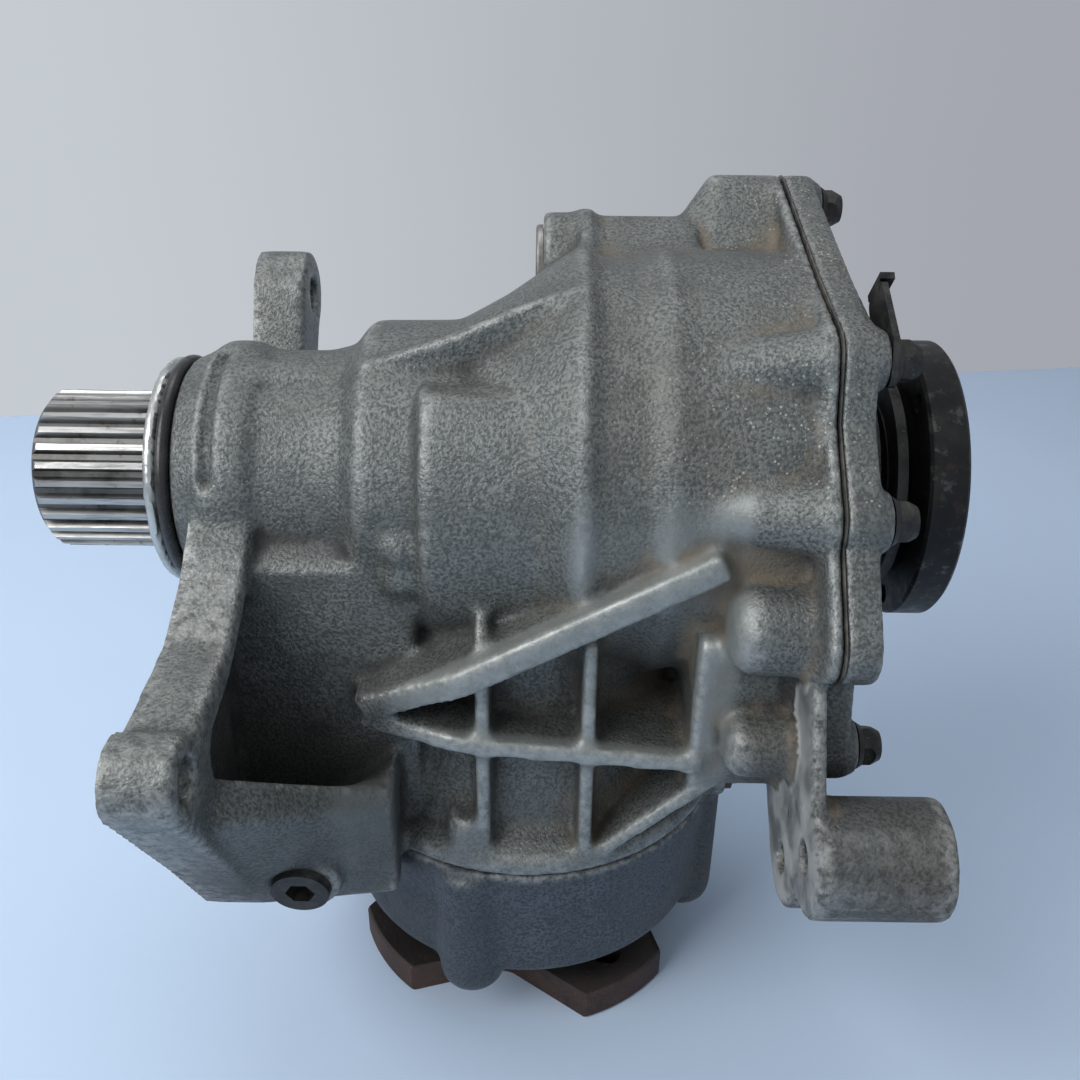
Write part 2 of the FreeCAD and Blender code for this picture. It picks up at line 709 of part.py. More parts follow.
def housing_cavity():
    """Everything inside: tube bore, bearing seats, ring gear room and pinion bore."""
    tube_bore = turn_x([
        (spigot_end_x - 1.0, 0), (spigot_end_x - 1.0, left_seal_r), (stub_bearing_x, left_seal_r),
        (stub_bearing_x, stub_bearing_or), (stub_bearing_end_x, stub_bearing_or),
        (stub_bearing_end_x, shoulder_bore_r + 2.0), (left_bearing_x - 4.0, shoulder_bore_r + 2.0),
        (left_bearing_x - 4.0, shoulder_bore_r), (left_bearing_x - shim_t, shoulder_bore_r),
        (left_bearing_x - shim_t, case_bearing_or),
        (left_seat_x, case_bearing_or), (left_seat_x, 46.0, 4.0), (barrel_left_x - 6.0, 47.0, 6.0),
        (barrel_left_x + 2.0, cavity_r, 5.0), (joint_x + 1.0, cavity_r), (joint_x + 1.0, 0)])
    pinion_bore = turn_z([
        (0, -30.0), (36.0, -30.0), (36.0, spigot_top + 3.0), (carrier_spigot_r, spigot_top + 3.0),
        (carrier_spigot_r, seam_z - 1.0), (0, seam_z - 1.0)])
    vent = bar_x(cap_x - 1.0, 40.0, vent_y, vent_z, vent_bore_r)
    cap_room = bar_x(cap_x - 16.0, cap_x, vent_y, vent_z, cap_r + 1.5)
    return tube_bore.fuse([pinion_bore, vent, cap_room])


def housing_holes():
    """Bores of ears and leg, threaded holes of cover and pinion housing, plug hole and gallery."""
    holes = []
    for ear in (front_ear, top_ear):
        holes.append(bar_x(mount_x - 1.0, mount_x + ear_thickness + 1.0, ear[0], ear[1], ear_bore_r))
    for lobe in (front_lobe, rear_lobe):
        holes.append(bar_x(leg_left_x - 1.0, leg_right_x + 1.0, lobe[0], lobe[1], lobe_bore_r))
    for lobe in cover_lobes:
        holes.append(bar_x(joint_x - cover_thread, joint_x + 1.0, lobe[0], lobe[1], cover_bolt_r))
    thread = bar_z(carrier_boss_circle_r, 0, seam_z - 1.0, seam_z + 20.0, carrier_bolt_r - 0.25)
    holes += around_z(thread, carrier_bolts, carrier_boss_first_deg)
    holes += [bar_x(joint_x - 8.0, joint_x + 1.0, y, z, dowel_r) for y, z in dowel_places]
    holes.append(bar_x(drain_plug_x - 14.0, drain_plug_x + 1.0, drain_plug_y, drain_plug_z, 6.0))
    seat = at(plug_x, plug_y, plug_z)
    holes.append(Part.makeCylinder(plug_r - 1.5, 22.0, seat, -plug_aim))
    holes.append(Part.makeCylinder(plug_r + 3.0, 20.0, seat, plug_aim))
    return holes


def main_housing():
    casting = axle_tube().fuse([barrel(), neck(), joint_rim(joint_x - rim_t, joint_x), vent_boss(),
                                front_flange(), lower_shelf(), rear_ear(), mounting_leg()]
                               + gussets() + bolt_bosses() + tube_details())
    carrier_room = bar_z(0, 0, carrier_bottom, seam_z, carrier_r + gap)
    gasket_room = slab_x([(-200.0, -150.0), (130.0, -150.0), (130.0, 130.0), (-200.0, 130.0)],
                         joint_x - gasket_t, joint_x)
    gasket_room = gasket_room.common(joint_rim(joint_x - gasket_t, joint_x))
    return casting.cut([housing_cavity(), tube_groove(), carrier_room, gasket_room] + housing_holes())


# Covers


def bearing_cover():
    """Right cover: lobed rim, cone towards the seal boss, and an inner hub for the bearing."""
    rim = joint_rim(joint_x, cover_out_x - 4.0)
    dome = turn_x([(joint_x, 0), (joint_x, 70.0), (cover_out_x - 4.0, 70.0), (cover_out_x + 1.0, 62.0, 4.0),
                   (cover_out_x + 3.0, 44.0, 5.0), (seal_boss_x, 38.0, 3.0), (seal_boss_x, 0)])
    hub = ring_x(right_bearing_x + 3.0, joint_x + 1.0, case_bearing_or - 2.0, case_bearing_or + 8.0)
    pads = [bar_x(joint_x, cover_out_x, lobe[0], lobe[1], cover_head_r + 1.5) for lobe in cover_lobes]
    seat = turn_x([
        (right_bearing_x + 1.0, 0), (right_bearing_x + 1.0, case_bearing_or),
        (right_seat_x + shim_t, case_bearing_or), (right_seat_x + shim_t, shoulder_bore_r),
        (seal_boss_x - seal_w, shoulder_bore_r), (seal_boss_x - seal_w, right_seal_r),
        (seal_boss_x + 1.0, right_seal_r), (seal_boss_x + 1.0, 0)])
    relief = turn_x([(joint_x - 1.0, case_bearing_or + 8.0), (joint_x - 1.0, cavity_r - 4.0),
                     (joint_x + 6.0, cavity_r - 8.0, 4.0), (joint_x + 6.0, case_bearing_or + 12.0, 4.0)])
    holes = [bar_x(joint_x - 1.0, cover_out_x + 2.0, lobe[0], lobe[1], cover_bolt_r + gap)
             for lobe in cover_lobes]
    holes += [bar_x(joint_x - 1.0, joint_x + 8.0, y, z, dowel_r) for y, z in dowel_places]
    return rim.fuse([dome, hub] + pads).cut([seat, relief] + holes)


def pinion_housing():
    """Lower casting: drafted skirt, bolt bosses, bearing tube with seats for cups and seal."""
    low_r = carrier_r - carrier_draft
    outer = turn_z([
        (0, spigot_top), (carrier_spigot_r - fit, spigot_top, 2.0), (carrier_spigot_r - fit, seam_z),
        (carrier_r, seam_z), (low_r, carrier_bottom, 5.0), (45.0, carrier_bottom, 3.0),
        (42.0, pinion_seal_z), (0, pinion_seal_z)])
    boss = bar_z(carrier_boss_circle_r, 0, carrier_boss_bottom + 8.0, seam_z - 3.0, carrier_boss_r)
    tip = turn_z([(0, 0), (carrier_boss_r, 0), (carrier_boss_r - 1.0, -8.0, 4.0), (0, -8.0)])
    tip.translate(V(carrier_boss_circle_r, 0, carrier_boss_bottom + 8.0))
    bore = turn_z([
        (0, spigot_top + 1.0), (head_bearing_or, spigot_top + 1.0), (head_bearing_or, head_bearing_bottom),
        (head_bearing_or - 5.0, head_bearing_bottom), (head_bearing_or - 5.0, head_bearing_bottom - 8.0, 2.0),
        (26.0, head_bearing_bottom - 14.0, 2.0), (26.0, tail_bearing_top),
        (tail_bearing_or, tail_bearing_top), (tail_bearing_or, pinion_seal_z - 1.0),
        (0, pinion_seal_z - 1.0)])
    core = turn_z([(42.0, seam_z - 14.0, 4.0), (carrier_r - 9.0, seam_z - 14.0, 4.0),
                   (low_r - 8.0, carrier_bottom - 4.0), (42.0, carrier_bottom - 4.0)])
    bolt_hole = bar_z(carrier_boss_circle_r, 0, carrier_boss_bottom - 1.0, seam_z + 1.0, carrier_bolt_r)
    counterbore = bar_z(carrier_boss_circle_r, 0, carrier_boss_bottom - 1.0, carrier_boss_bottom + 6.0, 8.6)
    shell = outer.cut([core]).fuse(around_z(boss.fuse(tip), carrier_bolts, carrier_boss_first_deg))
    tools = [bore] + around_z(bolt_hole.fuse(counterbore), carrier_bolts, carrier_boss_first_deg)
    return shell.cut(tools)


def cover_gasket():
    """Thin gasket with the shape of the joint rim."""
    rim = joint_rim(joint_x - gasket_t, joint_x)
    holes = [bar_x(joint_x - 1, joint_x + 2, lobe[0], lobe[1], cover_bolt_r + gap) for lobe in cover_lobes]
    holes += [bar_x(joint_x - 1, joint_x + 2, y, z, dowel_r + gap) for y, z in dowel_places]
    return rim.cut([bar_x(joint_x - 1, joint_x + 2, 0, 0, cavity_r)] + holes)


# Fasteners and small parts of the housing


def cover_bolts():
    bolts = []
    for lobe in cover_lobes:
        bolt = flange_bolt(cover_bolt_r, cover_thickness + cover_thread - 3.0, cover_head_r)
        seat_x = cover_out_x + (clip_t if lobe == clip_lobe else 0.0)
        bolts.append(aimed(bolt, at(seat_x, lobe[0], lobe[1]), V(1, 0, 0)))
    return Part.makeCompound(bolts)


def carrier_bolt_set():
    bolt = flange_bolt(carrier_bolt_r - 0.25, seam_z - carrier_boss_bottom + 10.0, 7.6)
    bolt = aimed(bolt, at(carrier_boss_circle_r, 0, carrier_boss_bottom + 6.0), V(0, 0, -1))
    return Part.makeCompound(around_z(bolt, carrier_bolts, carrier_boss_first_deg))


def oil_plug():
    """Threaded plug with a hexagon socket, set in the slanted block."""
    body = Part.makeCylinder(plug_r - 1.5, 14.0, V(0, 0, -14.0))
    head = Part.makeCone(plug_r + 1.5, plug_r + 1.0, 3.0)
    socket = hexagon(9.0, -6.0, 4.0)
    return aimed(body.fuse(head).cut(socket), at(plug_x, plug_y, plug_z), plug_aim)


def vent_cap():
    """Pressed cap in the boss at the top rear."""
    inner = vent_bore_r - 3.0
    return turn_x([(cap_x, 0), (cap_x, inner), (cap_x + 6.0, inner), (cap_x + 6.0, vent_bore_r),
                   (cap_x, vent_bore_r), (cap_x, cap_r), (cap_x - 2.6, cap_r, 1.2), (cap_x - 2.6, 0)],
                  centre_y=vent_y, centre_z=vent_z)


def spigot_oring():
    centre = at(oring_x, 0, 0)
    return Part.makeTorus(oring_floor_r + oring_section_r, oring_section_r, centre, V(1, 0, 0))


def clip_bracket():
    """Bent steel bracket held by the upper front cover bolt, reaching inwards over the cover."""
    y, z, _ = clip_lobe
    start_x, end_x = cover_out_x, cover_out_x + clip_t
    plate = slab_x([(y - 9.0, z - 6.0, 4.0), (y + 6.0, z - 9.0, 4.0), (y + 26.0, z + 11.0, 3.0),
                    (y + 17.0, z + 21.0, 3.0), (y - 6.0, z + 8.0, 5.0)], start_x, end_x)
    tab = slab_x([(y + 26.0, z + 11.0), (y + 27.6, z + 12.6), (y + 18.6, z + 22.6), (y + 17.0, z + 21.0)],
                 start_x, start_x + 4.5)
    return plate.fuse(tab).cut(bar_x(start_x - 1.0, end_x + 1.0, y, z, cover_bolt_r + gap))


# Final drive


def ring_gear():
    cutter = tooth_space(ring_teeth, ring_pitch_r, pinion_pitch_r, -drive_shift, pressure_angle,
                         drive_backlash, 0.55)
    bore_r = case_register_r
    outer_r = ring_pitch_r + 0.9
    blank = bevel_blank(ring_pitch_r, pinion_pitch_r, ring_module, -drive_shift, ring_face,
                        [(outer_r, pinion_pitch_r + 6.0), (outer_r, ring_back_x), (bore_r, ring_back_x),
                         (bore_r, pinion_pitch_r)])
    gear = along_axle(bevel_teeth(blank, ring_teeth, cutter, 180.0 / ring_teeth))
    thread = bar_x(ring_back_x - 13.0, ring_back_x + 1.0, 0, ring_bolt_circle_r, ring_bolt_r)
    return gear.cut(around_x(thread, ring_bolt_count))


def pinion_shaft():
    """Bevel pinion with its stem: bearing seats, spline for the flange and thread end."""
    cutter = tooth_space(pinion_teeth, pinion_pitch_r, ring_pitch_r, drive_shift, pressure_angle,
                         drive_backlash, 0.55)
    spline_start = -tail_bearing_bottom + 1.0
    stem = [(24.0, -head_bearing_top - 2.0), (24.0, -head_bearing_top), (head_bearing_ir, -head_bearing_top),
            (head_bearing_ir, -head_bearing_bottom - 0.5), (tail_bearing_ir, -head_bearing_bottom),
            (tail_bearing_ir, spline_start - 1.5), (pinion_spline_r - 1.2, spline_start - 1.0),
            (pinion_spline_r - 1.2, nut_seat - 0.5), (nut_thread_r, nut_seat),
            (nut_thread_r, axle_height - 3.0), (nut_thread_r - 1.0, axle_height - 2.0),
            (0, axle_height - 2.0), (0, pinion_nose)]
    blank = bevel_blank(pinion_pitch_r, ring_pitch_r, ring_module, drive_shift, ring_face, stem)
    gear = bevel_teeth(blank, pinion_teeth, cutter, 0.0)
    spline = spline_tool(pinion_spline_teeth, pinion_spline_r, pinion_spline_r - 1.2,
                         nut_seat - spline_start - 1.0)
    spline.translate(V(0, 0, spline_start))
    return along_pin(gear.fuse(spline), -1)


def input_flange():
    """Four-arm flange with a splined hub; its lower face is the ground face."""
    corners = []
    for i in range(4):
        middle = radians(arm_first_deg + 90.0 * i)
        half = radians(arm_width_deg / 2)
        notch = V(notch_r * cos(middle - pi / 4), notch_r * sin(middle - pi / 4), 0)
        next_notch = V(notch_r * cos(middle + pi / 4), notch_r * sin(middle + pi / 4), 0)
        first = V(flange_r * cos(middle - half), flange_r * sin(middle - half), 0)
        last = V(flange_r * cos(middle + half), flange_r * sin(middle + half), 0)
        first = first + (first - notch) * 0.3
        last = last + (last - next_notch) * 0.3
        corners += [(notch.x, notch.y, 9.0), (first.x, first.y), (last.x, last.y)]
    ground = -axle_height
    plate = slab_z(corners, ground, ground + flange_t)
    rim = turn_z([(0, ground), (flange_r - 1.0, ground), (flange_r, ground + 1.0),
                  (flange_r, ground + flange_t - 1.0), (flange_r - 1.0, ground + flange_t),
                  (0, ground + flange_t)])
    plate_top = ground + flange_t
    hub = turn_z([(0, ground + 4.0), (33.0, ground + 4.0), (33.0, plate_top + 3.0, 3.0),
                  (flange_hub_r + 3.0, plate_top + 4.0, 3.0), (flange_hub_r + 3.0, pinion_seal_z - 6.5, 2.0),
                  (flange_collar_r, pinion_seal_z - 6.0), (flange_collar_r, pinion_seal_z - 2.0),
                  (flange_hub_r, pinion_seal_z - 1.5), (flange_hub_r, tail_bearing_bottom),
                  (0, tail_bearing_bottom)])
    recess_r = nut_r + 2.5
    recess = turn_z([(0, ground - 1.0), (recess_r, ground - 1.0), (recess_r, -nut_seat, 2.0), (0, -nut_seat)])
    spline = spline_tool(pinion_spline_teeth, pinion_spline_r, pinion_spline_r - 1.2, 60.0, fit)
    spline.translate(at(0, 0, -nut_seat - 5.0))
    bolt_hole = bar_z(flange_bolt_pcd / 2, 0, ground - 1.0, ground + flange_t + 1.0, flange_bolt_r)
    holes = around_z(bolt_hole, 4, arm_first_deg)
    return plate.common(rim).fuse(hub).cut([recess, spline] + holes)


def pinion_nut():
    """Flanged hex nut in the recess of the input flange."""
    nut = hexagon(nut_r * 1.5, 0, nut_h).common(Part.makeCone(nut_r, nut_r - 2.5, nut_h))
    washer = Part.makeCylinder(nut_r, 2.5)
    thread = Part.makeCylinder(nut_thread_r + fit, nut_h + 2.0, V(0, 0, -1))
    return aimed(nut.fuse(washer).cut(thread), at(0, 0, -nut_seat), V(0, 0, -1))


def crush_spacer():
    """Sleeve with a bulge that yields as the pinion nut is tightened."""
    inner = tail_bearing_ir + gap
    wall = 3.2
    middle = (head_bearing_bottom + tail_bearing_top) / 2
    outer = [(inner + wall, tail_bearing_top), (inner + wall, middle - 12.0, 4.0),
             (inner + wall + 4.0, middle - 4.0, 3.0), (inner + wall + 4.0, middle + 4.0, 3.0),
             (inner + wall, middle + 12.0, 4.0), (inner + wall, head_bearing_bottom)]
    bore = [(inner, head_bearing_bottom), (inner, middle + 11.0, 4.0), (inner + 4.0, middle + 3.0, 3.0),
            (inner + 4.0, middle - 3.0, 3.0), (inner, middle - 11.0, 4.0), (inner, tail_bearing_top)]
    return turn_z(outer + bore)


# Differential


def differential_case():
    """One-piece case: ball body with windows, gear flange and two trunnions."""
    body = turn_x([
        (left_bearing_x - 1.0, 0), (left_bearing_x - 1.0, trunnion_r), (left_seat_x, trunnion_r),
        (left_seat_x, trunnion_r + 6.0), (-33.0, trunnion_r + 6.0, 4.0), (-22.0, 34.0), (-14.0, 38.0, 10.0),
        (-4.0, case_ball_r, 8.0), (10.0, case_ball_r - 3.0, 4.0), (20.5, case_ball_r - 3.0),
        (22.5, case_register_r), (case_flange_x, case_register_r), (case_flange_x, case_flange_r, 1.0),
        (case_flange_end, case_flange_r, 1.0), (case_flange_end, 33.0, 2.0), (right_bearing_x, 25.0, 2.0),
        (right_bearing_x, trunnion_r), (right_seat_x + 1.0, trunnion_r), (right_seat_x + 1.0, 0)])
    hollow = Part.makeSphere(case_inner_r, at(0, 0, 0))
    hub_end = side_hub_x + 0.5
    hub_room = side_hub_r + gap
    washer_x = side_back_x + washer_t
    seats = turn_x([
        (-hub_end, 0), (-hub_end, hub_room), (-washer_x, hub_room), (-washer_x, side_pitch_r + 2.6),
        (washer_x, side_pitch_r + 2.6), (washer_x, hub_room), (hub_end, hub_room), (hub_end, 0)])
    bore = bar_x(left_bearing_x - 2.0, right_seat_x + 2.0, 0, 0, output_shaft_r + gap)
    pin_hole = bar_z(0, 0, -case_ball_r - 2.0, case_ball_r + 2.0, cross_pin_r)
    window = slab_y([(-19.0, -17.0, 8.0), (19.0, -17.0, 8.0), (19.0, 17.0, 8.0), (-19.0, 17.0, 8.0)],
                    -case_ball_r - 5.0, case_ball_r + 5.0)
    bolt_hole = bar_x(case_flange_x - 1.0, case_flange_end + 1.0, 0, ring_bolt_circle_r, ring_bolt_r + gap)
    return body.cut([hollow, seats, bore, pin_hole, window, lock_pin_bar(0.0)]
                    + around_x(bolt_hole, ring_bolt_count))


def lock_pin_bar(extra):
    """Cross hole near the upper end of the cross pin, along Y."""
    half = lock_pin_length / 2 - extra
    return Part.makeCylinder(lock_pin_r, 2 * half, at(0, -half, lock_pin_z), V(0, 1, 0))


def ring_gear_bolts():
    bolt = flange_bolt(ring_bolt_r, case_flange_t + 11.0, 6.3)
    bolt = aimed(bolt, at(case_flange_end, 0, ring_bolt_circle_r), V(1, 0, 0))
    return Part.makeCompound(around_x(bolt, ring_bolt_count))


def cross_pin():
    """Pin through the case that carries both spider gears."""
    half = case_ball_r - 0.5
    pin = bar_z(0, 0, -half, half, cross_pin_r)
    return pin.cut(lock_pin_bar(-2.0))


def side_gear(direction):
    cutter = tooth_space(side_teeth, side_pitch_r, spider_pitch_r, -spider_shift, spider_pressure_angle,
                         spider_backlash, 0.5)
    hub = [(21.5, side_back_x), (side_hub_r, side_back_x), (side_hub_r, side_hub_x),
           (0, side_hub_x), (0, spider_pitch_r * 0.92)]
    blank = bevel_blank(side_pitch_r, spider_pitch_r, side_module, -spider_shift, side_face, hub)
    gear = bevel_teeth(blank, side_teeth, cutter, 180.0 / side_teeth)
    bore = spline_tool(shaft_spline_teeth, shaft_spline_r, shaft_spline_root_r, 60.0, fit)
    return along_axle(gear.cut(bore), direction)


def spider_gear(direction):
    cutter = tooth_space(spider_teeth, spider_pitch_r, side_pitch_r, spider_shift, spider_pressure_angle,
                         spider_backlash, 0.5)
    bore_r = cross_pin_r + fit
    hub = [(11.6, 34.0), (bore_r, 34.0), (bore_r, side_pitch_r * 0.74)]
    blank = bevel_blank(spider_pitch_r, side_pitch_r, side_module, spider_shift, side_face, hub)
    gear = bevel_teeth(blank, spider_teeth, cutter, 0.0)
    return along_pin(gear.common(Part.makeSphere(case_inner_r - washer_t - 0.1)), direction)


def side_washer(direction):
    near, far = side_back_x + 0.1, side_back_x + washer_t
    return ring_x(min(near * direction, far * direction), max(near * direction, far * direction),
                  side_hub_r + gap, side_pitch_r + 2.0)


def spider_washer(direction):
    """Domed thrust washer between a spider gear and the case."""
    shell = Part.makeSphere(case_inner_r - fit).cut(Part.makeSphere(case_inner_r - washer_t))
    ring = Part.makeCylinder(12.5, 60.0).cut(Part.makeCylinder(cross_pin_r + fit, 60.0))
    return along_pin(shell.common(ring), direction)


# Shafts


def shaft_spline(direction):
    """Splined inner end of an output shaft, inside its side gear."""
    length = side_hub_x - shaft_end_x - 1.0
    spline = spline_tool(shaft_spline_teeth, shaft_spline_r, shaft_spline_root_r, length)
    spline.translate(V(0, 0, shaft_end_x))
    return along_axle(spline, direction)


def stub_shaft():
    """Left output: outer spline, seal and bearing seats, long stem and inner spline."""
    spline = spline_tool(stub_teeth, stub_r, stub_root_r, stub_spline_end_x - stub_end_x)
    spline = aimed(spline, at(stub_end_x, 0, 0), V(1, 0, 0))
    envelope = turn_x([(stub_end_x, 0), (stub_end_x, stub_root_r - 0.6), (stub_end_x + 2.8, stub_r + 0.2),
                       (stub_spline_end_x - 2.0, stub_r + 0.2), (stub_spline_end_x, stub_root_r),
                       (stub_spline_end_x, 0)])
    bore = turn_x([(stub_end_x - 1.0, 0), (stub_end_x - 1.0, 17.0), (stub_end_x + 2.0, 16.0),
                   (stub_end_x + 22.0, 16.0, 2.0), (stub_end_x + 26.0, 9.0), (stub_end_x + 27.0, 0)])
    stem = turn_x([
        (stub_spline_end_x, 0), (stub_spline_end_x, 24.0), (stub_spline_end_x + 1.0, stub_shaft_r),
        (stub_bearing_end_x, stub_shaft_r), (stub_bearing_end_x, stub_shaft_r + 3.0),
        (stub_bearing_end_x + 4.5, stub_shaft_r + 3.0, 2.0), (-88.0, output_shaft_r, 4.0),
        (-side_hub_x - 0.5, output_shaft_r), (-side_hub_x - 0.5, shaft_spline_root_r),
        (-shaft_end_x, shaft_spline_root_r), (-shaft_end_x, 0)])
    groove = ring_x(-snap_far_x, -snap_near_x, snap_groove_r, shaft_spline_r + 1.0)
    return spline.common(envelope).fuse([stem, shaft_spline(-1)]).cut([bore, groove])


def output_flange():
    """Right output: bolted disc, hub with seal seat, stem and inner spline."""
    face_x = disc_x + disc_t
    body = turn_x([
        (shaft_end_x, 0), (shaft_end_x, shaft_spline_root_r), (side_hub_x + 0.5, shaft_spline_root_r),
        (side_hub_x + 0.5, output_shaft_r), (right_seat_x + 6.0, output_shaft_r, 2.0),
        (right_seat_x + 9.0, seal_hub_r, 2.0), (seal_boss_x + 2.0, seal_hub_r),
        (seal_boss_x + 4.0, disc_hub_r), (disc_x - 2.0, disc_hub_r, 2.0),
        (disc_x, disc_hub_r + 6.0), (disc_x, disc_r - 1.0),
        (disc_x + 1.0, disc_r), (face_x - 1.0, disc_r), (face_x, disc_r - 1.0), (face_x, 33.5),
        (face_x - 4.0, 32.5), (face_x - 4.0, 12.0, 3.0), (face_x - 14.0, 9.0), (face_x - 16.0, 0)])
    groove = ring_x(snap_near_x, snap_far_x, snap_groove_r, shaft_spline_r + 1.0)
    hole = bar_x(disc_x - 1.0, face_x + 1.0, 0, disc_bolt_pcd / 2, disc_bolt_r)
    return body.fuse(shaft_spline(1)).cut([groove] + around_x(hole, disc_bolt_count, 30.0))


def retaining_ring(direction):
    """Snap ring in the groove at the inner end of an output shaft."""
    low, high = sorted((snap_near_x * direction, snap_far_x * direction))
    ring = ring_x(low, high, snap_groove_r, shaft_spline_r + 0.4)
    slot = slab_x([(-2.0, 0.0), (2.0, 0.0), (2.0, 20.0), (-2.0, 20.0)], low - 1.0, high + 1.0)
    return ring.cut(slot)


def stub_bearing():
    """Outer ring, inner ring and balls of the ball bearing at the end of the tube."""
    x0, x1 = stub_bearing_x, stub_bearing_end_x
    middle_x = (x0 + x1) / 2
    middle_r = (stub_shaft_r + stub_bearing_or) / 2
    rings = ring_x(x0, x1, stub_shaft_r, stub_bearing_or)
    room = ring_x(x0 - 1.0, x1 + 1.0, middle_r - ball_r * 0.55, middle_r + ball_r * 0.55)
    track = Part.makeTorus(middle_r, ball_r + fit, at(middle_x, 0, 0), V(1, 0, 0))
    rings = rings.cut([room, track])
    inner, outer = sorted(rings.Solids, key=lambda solid: solid.BoundBox.ZLength)
    ball = Part.makeSphere(ball_r, at(middle_x, 0, middle_r))
    return outer, inner, Part.makeCompound(around_x(ball, ball_count))


def slinger(turn, near, far, shaft, outer):
    """Pressed dust ring on a hub, its rim bent over."""
    step = 1.2 if far > near else -1.2
    return turn([(near, shaft), (near, outer), (far, outer), (far, outer - 1.2), (near + step, outer - 1.2),
                 (near + step, shaft)])


def dowels():
    pins = [bar_x(joint_x - 8.0, joint_x + 8.0, y, z, dowel_r) for y, z in dowel_places]
    return Part.makeCompound(pins)


def shim(x0):
    return ring_x(x0, x0 + shim_t, case_bearing_or - 6.0, case_bearing_or)


def drain_plug():
    """Hex plug on the right of the neck."""
    body = Part.makeCylinder(6.0, 12.0, V(0, 0, -12.0))
    head = hexagon(14.0, 0, 7.0).common(Part.makeCone(9.0, 7.0, 7.0)).fuse(Part.makeCylinder(9.5, 2.0))
    return aimed(body.fuse(head), at(drain_plug_x, drain_plug_y, drain_plug_z), V(1, 0, 0))


# Build list


def add_bearing(name, ir, outer_r, width, place, turn, point, spin):
    cup, cone, roller = taper_bearing(ir, outer_r, width, place, turn)
    parts[name + "_cup"] = cup
    parts[name + "_cone"] = cone
    parts[name + "_rollers"] = rollers_between(roller, point, spin)


def add_bearings():
    def on_axle(s, r):
        return at(s, 0, r)

    def on_pinion(s, r):
        return at(r, 0, s)

    add_bearing("case_bearing_left", trunnion_r, case_bearing_or, case_bearing_w,
                lambda s: left_bearing_x + s, turn_x, on_axle, around_x)
    add_bearing("case_bearing_right", trunnion_r, case_bearing_or, case_bearing_w,
                lambda s: right_seat_x - s, turn_x, on_axle, around_x)
    add_bearing("head_bearing", head_bearing_ir, head_bearing_or, head_bearing_w,
                lambda s: head_bearing_bottom + s, turn_pinion, on_pinion, around_z)
    add_bearing("tail_bearing", tail_bearing_ir, tail_bearing_or, tail_bearing_w,
                lambda s: tail_bearing_top - s, turn_pinion, on_pinion, around_z)


def main():
    os.makedirs("parts", exist_ok=True)
    parts["main_housing"] = main_housing()
    parts["bearing_cover"] = bearing_cover()
    parts["pinion_housing"] = pinion_housing()
    parts["cover_gasket"] = cover_gasket()
    parts["cover_bolts"] = cover_bolts()
    parts["cover_dowels"] = dowels()
    parts["pinion_housing_bolts"] = carrier_bolt_set()
    parts["oil_plug"] = oil_plug()
    parts["drain_plug"] = drain_plug()
    parts["vent_cap"] = vent_cap()
    parts["spigot_oring"] = spigot_oring()
    parts["clip_bracket"] = clip_bracket()
    parts["seal_left"] = oil_seal(stub_bearing_x, -1, stub_shaft_r, left_seal_r, turn_x)
    parts["seal_right"] = oil_seal(seal_boss_x - seal_w, 1, seal_hub_r, right_seal_r, turn_x)
    parts["seal_pinion"] = oil_seal(pinion_seal_z + seal_w, -1, flange_hub_r, tail_bearing_or, turn_pinion)
    parts["shim_left"] = shim(left_bearing_x - shim_t)
    parts["shim_right"] = shim(right_seat_x)
    add_bearings()
    outer, inner, balls = stub_bearing()
    parts["stub_bearing_outer"] = outer
    parts["stub_bearing_inner"] = inner
    parts["stub_bearing_balls"] = balls
    parts["pinion_shaft"] = pinion_shaft()
    parts["crush_spacer"] = crush_spacer()
    parts["input_flange"] = input_flange()
    parts["pinion_nut"] = pinion_nut()
    parts["pinion_slinger"] = slinger(turn_pinion, pinion_seal_z - 2.5, pinion_seal_z - 6.0,
                                      flange_collar_r, 39.0)
    parts["differential_case"] = differential_case()
    parts["ring_gear"] = ring_gear()
    parts["ring_gear_bolts"] = ring_gear_bolts()
    parts["cross_pin"] = cross_pin()
    parts["cross_pin_lock"] = lock_pin_bar(0.5)
    for side, direction in (("left", -1), ("right", 1)):
        parts["side_gear_" + side] = side_gear(direction)
        parts["side_washer_" + side] = side_washer(direction)
        parts["retaining_ring_" + side] = retaining_ring(direction)
    for side, direction in (("lower", -1), ("upper", 1)):
        parts["spider_gear_" + side] = spider_gear(direction)
        parts["spider_washer_" + side] = spider_washer(direction)
    parts["stub_shaft"] = stub_shaft()
    parts["output_flange"] = output_flange()
    parts["output_slinger"] = slinger(turn_x, seal_boss_x + 4.5, seal_boss_x + 8.0, disc_hub_r, 40.0)
    for name, shape in parts.items():
        shape.exportStep("parts/" + name + ".step")


main()
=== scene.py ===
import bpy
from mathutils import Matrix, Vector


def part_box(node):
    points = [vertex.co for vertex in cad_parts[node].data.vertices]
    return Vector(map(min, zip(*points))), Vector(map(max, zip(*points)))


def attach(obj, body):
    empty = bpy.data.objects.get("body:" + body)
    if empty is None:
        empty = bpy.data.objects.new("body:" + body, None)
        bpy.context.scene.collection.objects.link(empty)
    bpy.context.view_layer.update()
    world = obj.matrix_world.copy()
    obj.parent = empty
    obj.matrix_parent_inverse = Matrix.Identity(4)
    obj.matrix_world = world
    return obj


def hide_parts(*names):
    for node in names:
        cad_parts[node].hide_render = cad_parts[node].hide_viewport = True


bl_info = {
    "name": "Bevel gear differential",
    "version": (1, 0, 0),
    "blender": (4, 5, 0),
    "location": "3D View > Sidebar > Differential",
    "description": "Cast skins, worn metal finishes and a stage for a bevel gear differential",
    "category": "Object",
}

import math

